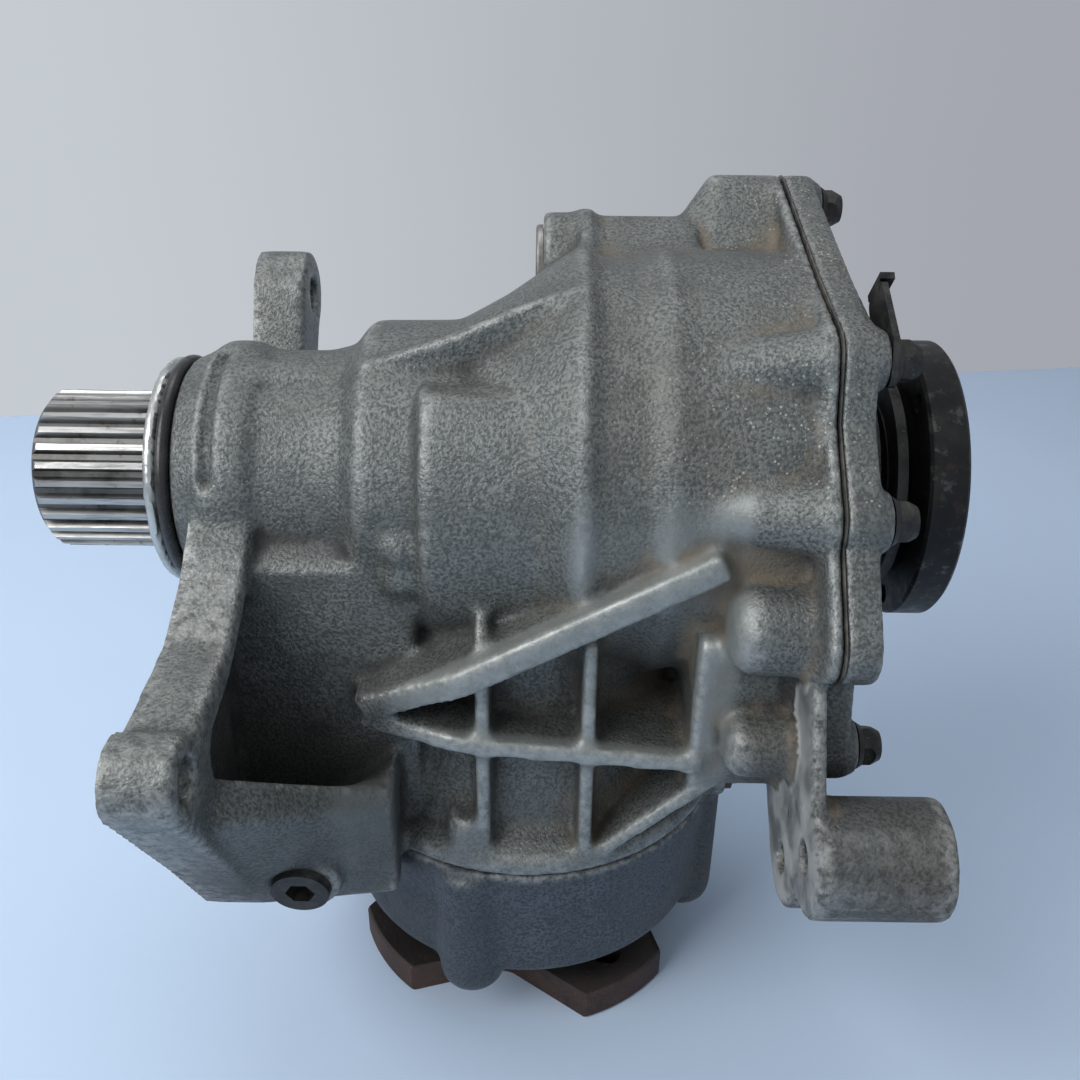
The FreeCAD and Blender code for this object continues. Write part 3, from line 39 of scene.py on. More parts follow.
import bmesh
import bpy
import numpy as np
from bpy.props import FloatProperty, FloatVectorProperty, IntProperty, PointerProperty
from bpy.types import Operator, Panel, PropertyGroup
from mathutils import Matrix, Vector

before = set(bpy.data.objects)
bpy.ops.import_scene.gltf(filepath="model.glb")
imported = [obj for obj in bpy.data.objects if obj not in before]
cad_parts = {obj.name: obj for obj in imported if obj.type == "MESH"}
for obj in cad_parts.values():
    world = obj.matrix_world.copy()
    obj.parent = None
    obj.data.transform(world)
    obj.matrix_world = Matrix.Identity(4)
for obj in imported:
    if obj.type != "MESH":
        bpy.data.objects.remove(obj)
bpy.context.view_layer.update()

# Places on the part, in metres
AXLE = 0.211                     # height of the axle line above the ground
JOINT = 0.094                    # joint face of the main housing
EARS = -0.113                    # left faces of the mounting ears
EAR_BORES = ((-0.133, AXLE - 0.034), (0.084, AXLE + 0.043))      # their (y, z)
EAR_BORE_RADIUS = 0.007
LEG_BORES = ((-0.112, AXLE - 0.080), (-0.088, AXLE - 0.103))     # their (y, z)
LEG_BORE_RADIUS = 0.00525
LEG_FRONTS = (0.131, 0.123)      # right faces of the leg's two lobes
LEG_BACK = 0.088                 # left face of the leg's lobes
SPIGOT_END = -0.129              # left end of the tube's spigot
SPIGOT_RADIUS = 0.041
SEAL_RADIUS = 0.031              # bore for the seal in the cover
BOSS_CIRCLE = 0.069              # radius of the circle of the pinion housing's bolts
BOSS_FIRST = -107.0              # degrees from +X to the first of these bolts
BOSS_HEIGHT = AXLE - 0.1125      # middle of the bosses over these bolts
WEB_CORNER = (0.0560, -0.0180, AXLE - 0.0760)    # corner between barrel, neck and leg web

# How the cast skins are made
ALLOWANCE = 0.004                # stock left on a joint face until it is cut flat
MOST_TRIANGLES = 195000          # of one cast skin
RECESS_SHARES = ((6, 0.55), (40, 0.45))          # smoothing passes for fine and broad hollows, and shares
RECESS_DEPTH = 0.00045           # shift after one pass that counts as a full hollow

# The stage
WALL_TURN = 9.5                  # degrees by which the wall behind stands nearer on the left
LAMP_AIM = 0.18                  # height that the lamps point at
CAMERA_PLACE = (0.0053, -0.365, 0.377)
CAMERA_TURNS = ((0.17, "Z"), (62.0, "X"), (0.64, "Z"))           # degrees: heading, tilt and roll
CAMERA_LENS = 36.0               # mm, on a sensor of the same width


# Sizes and colours that can be changed


def colour(name, description, default):
    """Property that holds one colour."""
    return FloatVectorProperty(name=name, description=description, default=default,
                               subtype="COLOR", size=3, min=0.0, max=1.0)


class CastingSizes(PropertyGroup):
    """Grid, rounding and colours of the cast aluminium skins."""

    grid: FloatProperty(name="Grid", description="Spacing of the surface points of a cast skin",
                        default=0.0015, min=0.0008, max=0.006, unit="LENGTH")
    rounding: IntProperty(name="Rounding", description="Passes that round the cast edges and corners",
                          default=7, min=0, max=30)
    alloy: colour("Alloy", "Weathered aluminium of the castings", (0.185, 0.198, 0.192))
    shine: colour("Shine", "Rubbed aluminium on the edges", (0.46, 0.47, 0.46))
    # this colour also paints shade in the recesses and under the ribs, and darkens the lower sides
    grime_and_shade: colour("Grime", "Oil and road dirt", (0.030, 0.030, 0.030))
    dust: colour("Dust", "Dry brown dust in the recesses", (0.175, 0.148, 0.112))
    # darker, bluish copy of the alloy for the pinion housing: painted shade, as it faces down, and painted
    # reflection of the blue floor
    shaded_alloy: colour("Smooth alloy", "Finer alloy of the pinion housing", (0.098, 0.114, 0.132))


class MetalSizes(PropertyGroup):
    """Colours and edge rounding of the steel parts."""

    edge: FloatProperty(name="Edge", description="Rounding of the forged flange's edges",
                        default=0.0009, min=0.0, max=0.003, unit="LENGTH")
    bright: colour("Bright steel", "Steel worn bright by its partner", (0.44, 0.44, 0.43))
    dark: colour("Dark steel", "Stained steel between the crests", (0.060, 0.058, 0.055))
    rust: colour("Rust", "Dry rust on bare steel", (0.070, 0.042, 0.034))
    black: colour("Black", "Blackened steel of bolts and bracket", (0.018, 0.018, 0.019))
    bronze: colour("Bronze", "Thrust washers", (0.42, 0.25, 0.11))


class StageSizes(PropertyGroup):
    """Floor, wall and lamps."""

    floor: colour("Floor", "Pale board under the part", (0.63, 0.78, 0.99))
    # the two wall tones paint the window's light across the wall, lighter on the left
    wall_left: colour("Wall left", "Pale wall behind the part, on the window's side", (0.56, 0.60, 0.64))
    wall_right: colour("Wall right", "Pale wall behind the part, away from the window", (0.37, 0.385, 0.425))
    wall_distance: FloatProperty(name="Wall", description="Distance of the wall behind the part",
                                 default=0.66, min=0.3, max=3.0, unit="LENGTH")
    window: FloatProperty(name="Window", description="Strength of the large lamp at the front left",
                          default=13.0, min=0.0, max=200.0, unit="POWER")
    back: FloatProperty(name="Back", description="Strength of the soft lamp above the back",
                        default=4.5, min=0.0, max=200.0, unit="POWER")
    sky: FloatProperty(name="Sky", description="Strength of the light from all round",
                       default=0.36, min=0.0, max=3.0)


# Finishes


class Finish:
    """One material, with short calls for the patterns that the finishes share."""

    def __init__(self, name, metallic=0.0, roughness=0.5, specular=0.5):
        self.material = bpy.data.materials.new(name)
        self.material.use_nodes = True
        self.tree = self.material.node_tree
        self.shader = self.tree.nodes["Principled BSDF"]
        self.shader.inputs["Metallic"].default_value = metallic
        self.shader.inputs["Roughness"].default_value = roughness
        self.shader.inputs["Specular IOR Level"].default_value = specular
        self.place = self.add("ShaderNodeTexCoord").outputs["Object"]
        self.normal = None

    def add(self, kind, **settings):
        node = self.tree.nodes.new(kind)
        for key, value in settings.items():
            setattr(node, key, value)
        return node

    def feed(self, socket, value):
        """Links a socket to another, or sets its value."""
        if isinstance(value, bpy.types.NodeSocket):
            self.tree.links.new(value, socket)
        elif hasattr(value, "__len__") and len(value) == 3 and socket.type == "RGBA":
            socket.default_value = (*value, 1.0)
        else:
            socket.default_value = value

    def noise(self, scale, detail=3.0, rough=0.55, place=None):
        node = self.add("ShaderNodeTexNoise")
        self.feed(node.inputs["Vector"], place or self.place)
        node.inputs["Scale"].default_value = scale
        node.inputs["Detail"].default_value = detail
        node.inputs["Roughness"].default_value = rough
        return node.outputs["Fac"]

    def cells(self, scale, output="Distance"):
        node = self.add("ShaderNodeTexVoronoi")
        self.feed(node.inputs["Vector"], self.place)
        node.inputs["Scale"].default_value = scale
        return node.outputs[output]

    def stretched(self, x, y, z, centre=(0.0, 0.0, 0.0)):
        """Object coordinates drawn out along an axis, for brushed and turned marks."""
        node = self.add("ShaderNodeMapping")
        self.feed(node.inputs["Vector"], self.place)
        node.inputs["Location"].default_value = [-c * s for c, s in zip(centre, (x, y, z))]
        node.inputs["Scale"].default_value = (x, y, z)
        return node.outputs["Vector"]

    def split(self):
        node = self.add("ShaderNodeSeparateXYZ")
        self.feed(node.inputs[0], self.place)
        return node.outputs

    def radius(self):
        """Distance from the axle line."""
        _, y, z = self.split()
        up = self.math("SUBTRACT", z, AXLE)
        return self.math("SQRT", self.math("ADD", self.math("MULTIPLY", y, y), self.math("MULTIPLY", up, up)))

    def stored(self, name):
        return self.add("ShaderNodeAttribute", attribute_name=name).outputs["Fac"]

    def math(self, operation, a, b=None, clamp=False):
        node = self.add("ShaderNodeMath", operation=operation, use_clamp=clamp)
        self.feed(node.inputs[0], a)
        if b is not None:
            self.feed(node.inputs[1], b)
        return node.outputs[0]

    def span(self, value, low, high, to_low=0.0, to_high=1.0):
        """Smooth step from to_low to to_high as value goes from low to high."""
        node = self.add("ShaderNodeMapRange", interpolation_type="SMOOTHSTEP")
        self.feed(node.inputs["Value"], value)
        node.inputs["From Min"].default_value = low
        node.inputs["From Max"].default_value = high
        node.inputs["To Min"].default_value = to_low
        node.inputs["To Max"].default_value = to_high
        return node.outputs["Result"]

    def blend(self, factor, a, b, mode="MIX"):
        node = self.add("ShaderNodeMix", data_type="RGBA", blend_type=mode)
        self.feed(node.inputs["Factor"], factor)
        self.feed(node.inputs[6], a)
        self.feed(node.inputs[7], b)
        return node.outputs[2]

    def relief(self, height, depth, strength=1.0):
        """Adds a layer of bumps of the given depth in metres."""
        node = self.add("ShaderNodeBump")
        node.inputs["Strength"].default_value = strength
        node.inputs["Distance"].default_value = depth
        self.feed(node.inputs["Height"], height)
        if self.normal is not None:
            self.feed(node.inputs["Normal"], self.normal)
        self.normal = node.outputs["Normal"]

    def done(self, base, rough=None, metallic=None):
        self.feed(self.shader.inputs["Base Color"], base)
        if rough is not None:
            self.feed(self.shader.inputs["Roughness"], rough)
        if metallic is not None:
            self.feed(self.shader.inputs["Metallic"], metallic)
        if self.normal is not None:
            self.feed(self.shader.inputs["Normal"], self.normal)
        return self.material


def cast_alloy(name, sizes, alloy, grain=1.0, dusty=1.0, lit_satin_fronts=False):
    """Sand-textured aluminium with pores, patches, oil soiling and dust in its recesses; painted shade in the
    recesses, under the ribs and low down; painted light on the fronts of the ribs.
    """
    f = Finish(name, specular=0.4)
    x, y, z = f.split()
    recess = f.stored("recess")
    patches = f.noise(13.0, 5.0, 0.6)
    clouds = f.noise(70.0, 5.0, 0.6)
    sand = f.noise(850.0, 2.5, 0.62)
    pores = f.cells(620.0)
    base = f.blend(f.span(clouds, 0.33, 0.68), [c * 0.80 for c in alloy], [c * 1.16 for c in alloy])
    base = f.blend(f.span(sand, 0.38, 0.60), [c * 0.50 for c in alloy], base)
    satin_and_light = 0.0
    if lit_satin_fronts:
        # the fronts of the ribs came out of the mould smooth; their lighter tone, growing with height, is
        # painted light on these fronts
        between = f.math("MULTIPLY", f.span(x, -0.068, -0.058), f.span(x, 0.072, 0.066))
        satin_and_light = f.math("MULTIPLY", between, f.span(y, -0.0690, -0.0735))
        satin_and_light = f.math("MULTIPLY", satin_and_light, f.span(z, 0.090, 0.150, 0.35, 1.0))
        # painted light: a lighter copy of the alloy on the rib fronts
        painted_light_tone = f.blend(clouds, [c * 1.35 for c in alloy], [c * 1.75 for c in alloy])
        base = f.blend(f.math("MULTIPLY", satin_and_light, 0.75), base, painted_light_tone)
    # oil and road soiling in patches, darker low on both sides, and painted shade in the recesses and under
    # the ribs
    low_left = f.math("MULTIPLY", f.span(x, 0.02, -0.09), f.span(z, 0.175, 0.085))
    low_right = f.math("MULTIPLY", f.span(x, 0.045, 0.085), f.span(z, 0.195, 0.130))
    low = f.math("MULTIPLY", f.math("ADD", low_left, low_right), 0.75)
    dirt_and_shade = f.math("ADD", low, f.span(recess, 0.56, 0.80, 0.0, 0.95), clamp=True)
    blotches = f.math("ADD", patches, f.math("MULTIPLY", clouds, 0.5))
    dirt_and_shade = f.math("MULTIPLY", dirt_and_shade, f.span(blotches, 0.46, 0.84))
    base = f.blend(dirt_and_shade, base, sizes.grime_and_shade)
    # dry dust on the right, in the recesses and in patches
    right = f.span(x, -0.02, 0.06)
    drift = f.math("MULTIPLY", f.span(recess, 0.50, 0.64), f.span(f.noise(38.0, 6.0, 0.7), 0.40, 0.62))
    film = f.math("MULTIPLY", f.span(patches, 0.47, 0.66), f.span(sand, 0.40, 0.66))
    settled = f.math("ADD", f.math("MULTIPLY", drift, 0.85), f.math("MULTIPLY", film, 0.45), clamp=True)
    settled = f.math("MULTIPLY", settled, f.math("MULTIPLY", right, dusty))
    base = f.blend(settled, base, sizes.dust)
    # pale grit that stays on the upper right
    grit_zone = f.math("MULTIPLY", f.span(x, 0.015, 0.085), f.span(z, 0.195, 0.255))
    grit = f.math("MULTIPLY", f.span(f.cells(520.0, "Color"), 0.66, 0.72), f.span(pores, 0.34, 0.20))
    grit = f.math("MULTIPLY", grit, f.math("MULTIPLY", grit_zone, f.span(patches, 0.36, 0.56)))
    base = f.blend(f.math("MULTIPLY", grit, 0.8), base, (0.50, 0.48, 0.42))
    # edges rubbed bright
    wear = f.math("MULTIPLY", f.span(recess, 0.42, 0.22), f.span(f.noise(260.0, 5.0, 0.7), 0.36, 0.62))
    base = f.blend(f.math("MULTIPLY", wear, 0.50), base, sizes.shine)
    cut = f.stored("machined")
    shown = f.math("MULTIPLY", cut, f.span(clouds, 0.30, 0.55, 0.6, 1.0))
    base = f.blend(shown, base, [c * 1.1 for c in sizes.shine])
    covered = f.math("MAXIMUM", settled, dirt_and_shade)
    rough = f.math("ADD", f.span(clouds, 0.3, 0.7, 0.42, 0.56), f.math("MULTIPLY", covered, 0.22))
    rough = f.math("SUBTRACT", rough, f.math("MULTIPLY", cut, 0.16))
    metallic = f.math("ADD", f.span(covered, 0.0, 0.9, 0.50, 0.05), f.math("MULTIPLY", cut, 0.3))
    smooth = f.math("MAXIMUM", f.math("MULTIPLY", cut, 0.85), f.math("MULTIPLY", satin_and_light, 0.7))
    keep = f.math("SUBTRACT", 1.0, smooth)
    f.relief(f.math("MULTIPLY", sand, keep), 0.00055 * grain, 0.75)
    f.relief(f.math("MULTIPLY", f.span(pores, 0.0, 0.45), keep), 0.00022 * grain, 0.6)
    f.relief(clouds, 0.0012, 0.5)
    return f.done(base, rough, metallic)


def worn_spline_steel(metal):
    """Spline steel: bright crests, dark stained roots and lengthwise scuffs."""
    f = Finish("spline_steel_worn", metallic=0.92)
    crest = f.span(f.radius(), 0.0271, 0.0286)
    scuffs = f.noise(1.0, 4.0, 0.6, f.stretched(60.0, 1100.0, 1100.0))
    stain = f.noise(42.0, 6.0, 0.65)
    base = f.blend(f.span(stain, 0.38, 0.64), metal.dark, [c * 0.36 for c in metal.bright])
    worn = f.math("MULTIPLY", crest, f.span(scuffs, 0.30, 0.58, 0.35, 1.0))
    base = f.blend(worn, base, metal.bright)
    spots = f.math("MULTIPLY", f.span(f.noise(180.0, 4.0), 0.60, 0.72), 0.7)
    base = f.blend(spots, base, (0.045, 0.030, 0.020))
    f.relief(scuffs, 0.00012, 0.5)
    f.relief(f.noise(420.0, 3.0), 0.00016, 0.4)
    rough = f.math("SUBTRACT", f.span(stain, 0.3, 0.7, 0.30, 0.52), f.math("MULTIPLY", worn, 0.08))
    return f.done(base, rough)


def turned_steel(name, tone, rough=0.30, stain=(0.05, 0.045, 0.04), amount=0.5):
    """Turned steel with fine circular marks about the axle and oily stains."""
    f = Finish(name, metallic=0.95)
    marks = f.noise(1.0, 3.0, 0.5, f.stretched(2600.0, 45.0, 45.0))
    clouds = f.noise(65.0, 6.0, 0.65)
    base = f.blend(f.math("MULTIPLY", f.span(clouds, 0.46, 0.66), amount), tone, stain)
    base = f.blend(f.span(marks, 0.35, 0.65), [c * 0.82 for c in tone], base)
    f.relief(marks, 0.00006, 0.5)
    return f.done(base, f.span(clouds, 0.35, 0.70, rough, rough + 0.24))


def blackened_steel(name, metal, rusty=0.35, rough=0.46):
    """Blackened steel with rubbed corners, dust and spots of rust."""
    f = Finish(name, metallic=0.6)
    clouds = f.noise(120.0, 6.0, 0.65)
    fine = f.noise(900.0, 3.0, 0.6)
    base = f.blend(f.span(clouds, 0.36, 0.66), metal.black, (0.062, 0.060, 0.056))
    base = f.blend(f.math("MULTIPLY", f.span(f.noise(210.0, 5.0), 0.56, 0.70), rusty), base, metal.rust)
    base = f.blend(f.math("MULTIPLY", f.span(fine, 0.62, 0.74), 0.5), base, (0.22, 0.21, 0.19))
    f.relief(fine, 0.00016, 0.5)
    f.relief(clouds, 0.0004, 0.5)
    return f.done(base, f.span(clouds, 0.3, 0.7, rough - 0.08, rough + 0.20))


def mottled_flange(metal):
    """Output flange: black film worn through in small grey and brown spots, most on the rim."""
    f = Finish("flange_black_worn", metallic=0.7)
    spots = f.noise(210.0, 8.0, 0.74)
    clouds = f.noise(30.0, 5.0, 0.6)
    rim = f.span(f.radius(), 0.044, 0.0495)
    through = f.math("MULTIPLY", f.span(spots, 0.53, 0.63), f.span(clouds, 0.34, 0.60, 0.25, 1.0))
    through = f.math("MULTIPLY", through, f.math("ADD", f.math("MULTIPLY", rim, 0.65), 0.35))
    base = f.blend(f.span(clouds, 0.35, 0.65), (0.016, 0.016, 0.017), (0.040, 0.038, 0.036))
    base = f.blend(through, base, (0.115, 0.112, 0.105))
    base = f.blend(f.math("MULTIPLY", f.span(f.noise(95.0, 6.0, 0.7), 0.60, 0.70), 0.4), base, metal.rust)
    f.relief(spots, 0.0003, 0.6)
    return f.done(base, f.span(spots, 0.35, 0.65, 0.50, 0.36))


def rusty_forging(name, metal, oily_above=None):
    """Forged steel with an even coat of rust, pits and an oily dark top."""
    f = Finish(name, metallic=0.25)
    clouds = f.noise(60.0, 7.0, 0.68)
    pits = f.cells(420.0)
    fine = f.noise(1100.0, 3.0, 0.6)
    base = f.blend(f.span(clouds, 0.34, 0.66), [c * 0.45 for c in metal.rust],
                   [c * 1.25 for c in metal.rust])
    base = f.blend(f.math("MULTIPLY", f.span(fine, 0.56, 0.70), 0.55), base, (0.19, 0.095, 0.055))
    dark = f.math("MULTIPLY", f.span(f.noise(24.0, 5.0), 0.50, 0.66), 0.7)
    base = f.blend(dark, base, (0.035, 0.030, 0.030))
    if oily_above is not None:
        z = f.split()[2]
        top = f.math("MULTIPLY", f.span(z, oily_above - 0.0008, oily_above + 0.0002), 0.92)
        base = f.blend(top, base, (0.020, 0.018, 0.018))
    f.relief(f.span(pits, 0.0, 0.5), 0.0003, 0.5)
    f.relief(clouds, 0.0006, 0.6)
    f.relief(fine, 0.00015, 0.5)
    return f.done(base, f.span(clouds, 0.3, 0.7, 0.55, 0.80))


def ground_gear_steel(name, tone, oily=0.35):
    """Hardened gear steel under a film of gear oil."""
    f = Finish(name, metallic=0.95)
    clouds = f.noise(80.0, 4.0, 0.6)
    lines = f.noise(1.0, 3.0, 0.5, f.stretched(900.0, 900.0, 160.0))
    base = f.blend(f.span(clouds, 0.35, 0.68), tone, [c * 0.62 for c in tone])
    base = f.blend(f.math("MULTIPLY", f.span(f.noise(22.0, 4.0), 0.5, 0.7), oily), base, (0.16, 0.12, 0.07))
    f.relief(lines, 0.00008, 0.4)
    f.shader.inputs["Coat Weight"].default_value = 0.35
    f.shader.inputs["Coat Roughness"].default_value = 0.16
    return f.done(base, f.span(clouds, 0.3, 0.7, 0.24, 0.40))


def rubber(name, dark=(0.010, 0.010, 0.011), dusty=(0.030, 0.029, 0.028)):
    """Rubber with a film of dust."""
    f = Finish(name, specular=0.55)
    fine = f.noise(700.0, 3.0)
    base = f.blend(f.span(f.noise(90.0, 4.0), 0.42, 0.66), dark, dusty)
    f.relief(fine, 0.00008, 0.4)
    return f.done(base, f.span(fine, 0.35, 0.65, 0.26, 0.42))


def cast_iron(name):
    """Sand-cast iron of the differential case, under old oil."""
    f = Finish(name, metallic=0.55)
    sand = f.noise(700.0, 3.0, 0.6)
    clouds = f.noise(60.0, 5.0, 0.6)
    base = f.blend(f.span(clouds, 0.35, 0.65), (0.060, 0.060, 0.062), (0.125, 0.124, 0.122))
    base = f.blend(f.math("MULTIPLY", f.span(sand, 0.55, 0.68), 0.5), base, (0.035, 0.030, 0.026))
    f.relief(sand, 0.00045, 0.7)
    return f.done(base, f.span(clouds, 0.3, 0.7, 0.42, 0.62))


def bronze(name, metal):
    """Bronze of the thrust washers, with darker tarnish."""
    f = Finish(name, metallic=0.95)
    marks = f.noise(1.0, 3.0, 0.5, f.stretched(200.0, 1200.0, 1200.0))
    base = f.blend(f.span(f.noise(110.0, 5.0), 0.4, 0.68), metal.bronze, [c * 0.5 for c in metal.bronze])
    f.relief(marks, 0.00006, 0.4)
    return f.done(base, f.span(marks, 0.3, 0.7, 0.24, 0.42))


# Cast skins


def point_array(mesh):
    """Places of a mesh's points, one row each."""
    points = np.empty(len(mesh.vertices) * 3, np.float64)
    mesh.vertices.foreach_get("co", points)
    return points.reshape(-1, 3)


def neighbours(mesh):
    """Start and end points of every edge, and each point's number of edges."""
    pairs = np.empty(len(mesh.edges) * 2, np.int32)
    mesh.edges.foreach_get("vertices", pairs)
    pairs = pairs.reshape(-1, 2)
    return pairs, np.maximum(np.bincount(pairs.ravel(), minlength=len(mesh.vertices)), 1)


def relaxed(points, pairs, degree, passes, amount):
    """Points moved towards the mean of their neighbours, by amount (one number or one each)."""
    for _ in range(passes):
        mean = np.stack([np.bincount(pairs[:, 0], points[pairs[:, 1], k], len(points))
                         + np.bincount(pairs[:, 1], points[pairs[:, 0], k], len(points))
                         for k in range(3)], axis=1) / degree[:, None]
        points = points + (mean - points) * amount
    return points


def evaluated(obj):
    """Mesh of an object with its modifiers applied."""
    graph = bpy.context.evaluated_depsgraph_get()
    return bpy.data.meshes.new_from_object(obj.evaluated_get(graph), depsgraph=graph)


def apply_modifier(obj, kind, **settings):
    """Runs one modifier on an object and keeps its result as the mesh."""
    modifier = obj.modifiers.new(kind.lower(), kind)
    for key, value in settings.items():
        setattr(modifier, key, value)
    mesh = evaluated(obj)
    obj.modifiers.clear()
    old = obj.data
    obj.data = mesh
    bpy.data.meshes.remove(old)


def cut_flat(obj, axis, place, side, depth):
    """Cuts a slice of at most the given depth off a plane across an axis, and closes the cut.

    What stands further out than the slice is kept.
    """
    normal = Vector((0.0, 0.0, 0.0))
    normal[axis] = side
    point = Vector((0.0, 0.0, 0.0))
    point[axis] = place
    work = bmesh.new()
    work.from_mesh(obj.data)
    geometry = work.verts[:] + work.edges[:] + work.faces[:]
    bmesh.ops.bisect_plane(work, geom=geometry, dist=1e-7, plane_co=point, plane_no=normal)
    outer = {f for f in work.faces if (f.calc_center_median()[axis] - place) * side > 1e-7}
    slices = []
    while outer:
        island, fresh = set(), [outer.pop()]
        while fresh:
            face = fresh.pop()
            island.add(face)
            for edge in face.edges:
                for other in edge.link_faces:
                    if other in outer:
                        outer.discard(other)
                        fresh.append(other)
        if max((v.co[axis] - place) * side for f in island for v in f.verts) < depth:
            slices += island
    bmesh.ops.delete(work, geom=slices, context="FACES")
    rim = [e for e in work.edges if e.is_boundary]
    bmesh.ops.triangle_fill(work, use_beauty=True, edges=rim, normal=normal)
    bmesh.ops.recalc_face_normals(work, faces=work.faces)
    work.to_mesh(obj.data)
    work.free()


def cast_skin(name, node, finish, crisp, machined, joint=None, finer=1.0, added=()):
    """Cast skin over a housing's solid: an even grid of points with its sharp corners rounded.

    crisp holds tests for the points that stay sharp, and machined those for cutter marks; joint is the
    (axis, place, side) of a face that stays exactly flat; finer scales the grid; added holds the makers
    of cast-on bosses.
    """
    sizes = bpy.context.scene.differential_casting
    grid = sizes.grid * finer
    work = bmesh.new()
    work.from_mesh(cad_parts[node].data)
    bmesh.ops.remove_doubles(work, verts=work.verts, dist=1e-6)
    for maker in added:
        maker(work)
    if joint:
        axis, place, side = joint
        for vert in work.verts:
            if abs(vert.co[axis] - place) < 2e-5:
                vert.co[axis] += ALLOWANCE * side
    mesh = bpy.data.meshes.new(name)
    work.to_mesh(mesh)
    work.free()
    obj = bpy.data.objects.new(name, mesh)
    bpy.context.collection.objects.link(obj)
    apply_modifier(obj, "REMESH", mode="VOXEL", voxel_size=grid, adaptivity=0.0)
    points = point_array(obj.data)
    pairs, degree = neighbours(obj.data)
    amount = np.full(len(points), 0.5)
    for test in crisp:
        amount *= 1.0 - np.clip(test(points), 0.0, 1.0)
    points = relaxed(points, pairs, degree, sizes.rounding, amount[:, None])
    obj.data.vertices.foreach_set("co", points.ravel())
    obj.data.update()
    if joint:
        cut_flat(obj, *joint, ALLOWANCE * 1.5)
    faces = sum(len(p.vertices) - 2 for p in obj.data.polygons)
    if faces > MOST_TRIANGLES:
        apply_modifier(obj, "DECIMATE", ratio=MOST_TRIANGLES / faces * 0.995, use_collapse_triangulate=True)
    mark_recesses(obj.data, machined)
    obj.data.shade_smooth()
    obj.data.set_sharp_from_angle(angle=math.radians(42.0))
    obj.data.materials.clear()
    obj.data.materials.append(finish)
    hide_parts(node)
    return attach(obj, "housing")


def mark_recesses(mesh, machined):
    """Stores how hollow (above 0.5) or raised (below) each point is, and which points are machined."""
    points = point_array(mesh)
    pairs, degree = neighbours(mesh)
    normals = np.empty(len(mesh.vertices) * 3, np.float32)
    mesh.vertices.foreach_get("normal", normals)
    normals = normals.reshape(-1, 3)
    total = np.zeros(len(points))
    for passes, share in RECESS_SHARES:
        shift = relaxed(points, pairs, degree, passes, 0.6) - points
        height = (shift * normals).sum(axis=1)
        total += share * np.clip(height / (RECESS_DEPTH * math.sqrt(passes)), -1.0, 1.0)
    store = mesh.attributes.new("recess", "FLOAT", "POINT")
    store.data.foreach_set("value", (0.5 + 0.5 * total).astype(np.float32))
    cut = np.zeros(len(points))
    for test in machined:
        cut = np.maximum(cut, test(points, normals))
    store = mesh.attributes.new("machined", "FLOAT", "POINT")
    store.data.foreach_set("value", cut.astype(np.float32))


def milled(axis, place, side):
    """Test for machined: a flat face across an axis."""
    return lambda p, n: (np.abs(p[:, axis] - place) < 0.0003) & (n[:, axis] * side > 0.90)


def turned(radius, low, high):
    """Test for machined: a round about the axle between two places along it."""
    def test(p, n):
        away = np.hypot(p[:, 1], p[:, 2] - AXLE)
        return (np.abs(away - radius) < 0.0011) & (p[:, 0] > low) & (p[:, 0] < high)

    return test


def blind_bosses(work):
    """Cast bosses over the ends of the four threads that hold the pinion housing."""
    for turn in range(4):
        bearing = math.radians(BOSS_FIRST + 90.0 * turn)
        place = (BOSS_CIRCLE * math.cos(bearing), BOSS_CIRCLE * math.sin(bearing), BOSS_HEIGHT)
        bmesh.ops.create_cone(work, cap_ends=True, cap_tris=True, segments=40, radius1=0.0100,
                              radius2=0.0072, depth=0.0170, matrix=Matrix.Translation(place))


def web_fillet(work):
    """Metal that closes the corner between barrel, neck and leg web."""
    bmesh.ops.create_icosphere(work, subdivisions=3, radius=0.010, matrix=Matrix.Translation(WEB_CORNER))


def near_plane(axis, place, margin):
    """Test for cast_skin: 1 at a plane across an axis, 0 beyond the margin."""
    return lambda p: 1.0 - np.clip((np.abs(p[:, axis] - place) - margin * 0.5) / (margin * 0.5), 0.0, 1.0)


def near_bore(y, z, radius, margin, low, high):
    """Test for cast_skin: 1 on the wall of a bore or round along X, 0 beyond the margin."""
    def test(p):
        away = np.hypot(p[:, 1] - y, p[:, 2] - z)
        inside = (p[:, 0] > low) & (p[:, 0] < high)
        return inside * (1.0 - np.clip((np.abs(away - radius) - margin * 0.5) / (margin * 0.5), 0.0, 1.0))

    return test


# Operators


class DIFFERENTIAL_OT_main_casting(Operator):
    """Make the main housing's cast skin"""

    bl_idname = "differential.main_casting"
    bl_label = "Main casting"

    def execute(self, context):
        sizes = context.scene.differential_casting
        finish = cast_alloy("main_cast_alloy", sizes, tuple(sizes.alloy), lit_satin_fronts=True)
        crisp = [near_plane(0, EARS, 0.0008),
                 near_bore(0.0, AXLE, SPIGOT_RADIUS, 0.0035, -0.140, -0.1165)]
        crisp += [near_bore(y, z, EAR_BORE_RADIUS, 0.003, -0.120, -0.080) for y, z in EAR_BORES]
        crisp += [near_bore(y, z, LEG_BORE_RADIUS, 0.003, 0.080, 0.140) for y, z in LEG_BORES]
        machined = [milled(0, place, -1.0) for place in (EARS, SPIGOT_END, LEG_BACK)]
        machined += [milled(0, place, 1.0) for place in LEG_FRONTS]
        machined.append(turned(SPIGOT_RADIUS, -0.130, -0.1255))
        cast_skin("housing_casting", "main_housing", finish, crisp, machined,
                  joint=(0, JOINT, 1.0), added=(blind_bosses, web_fillet))
        return {"FINISHED"}


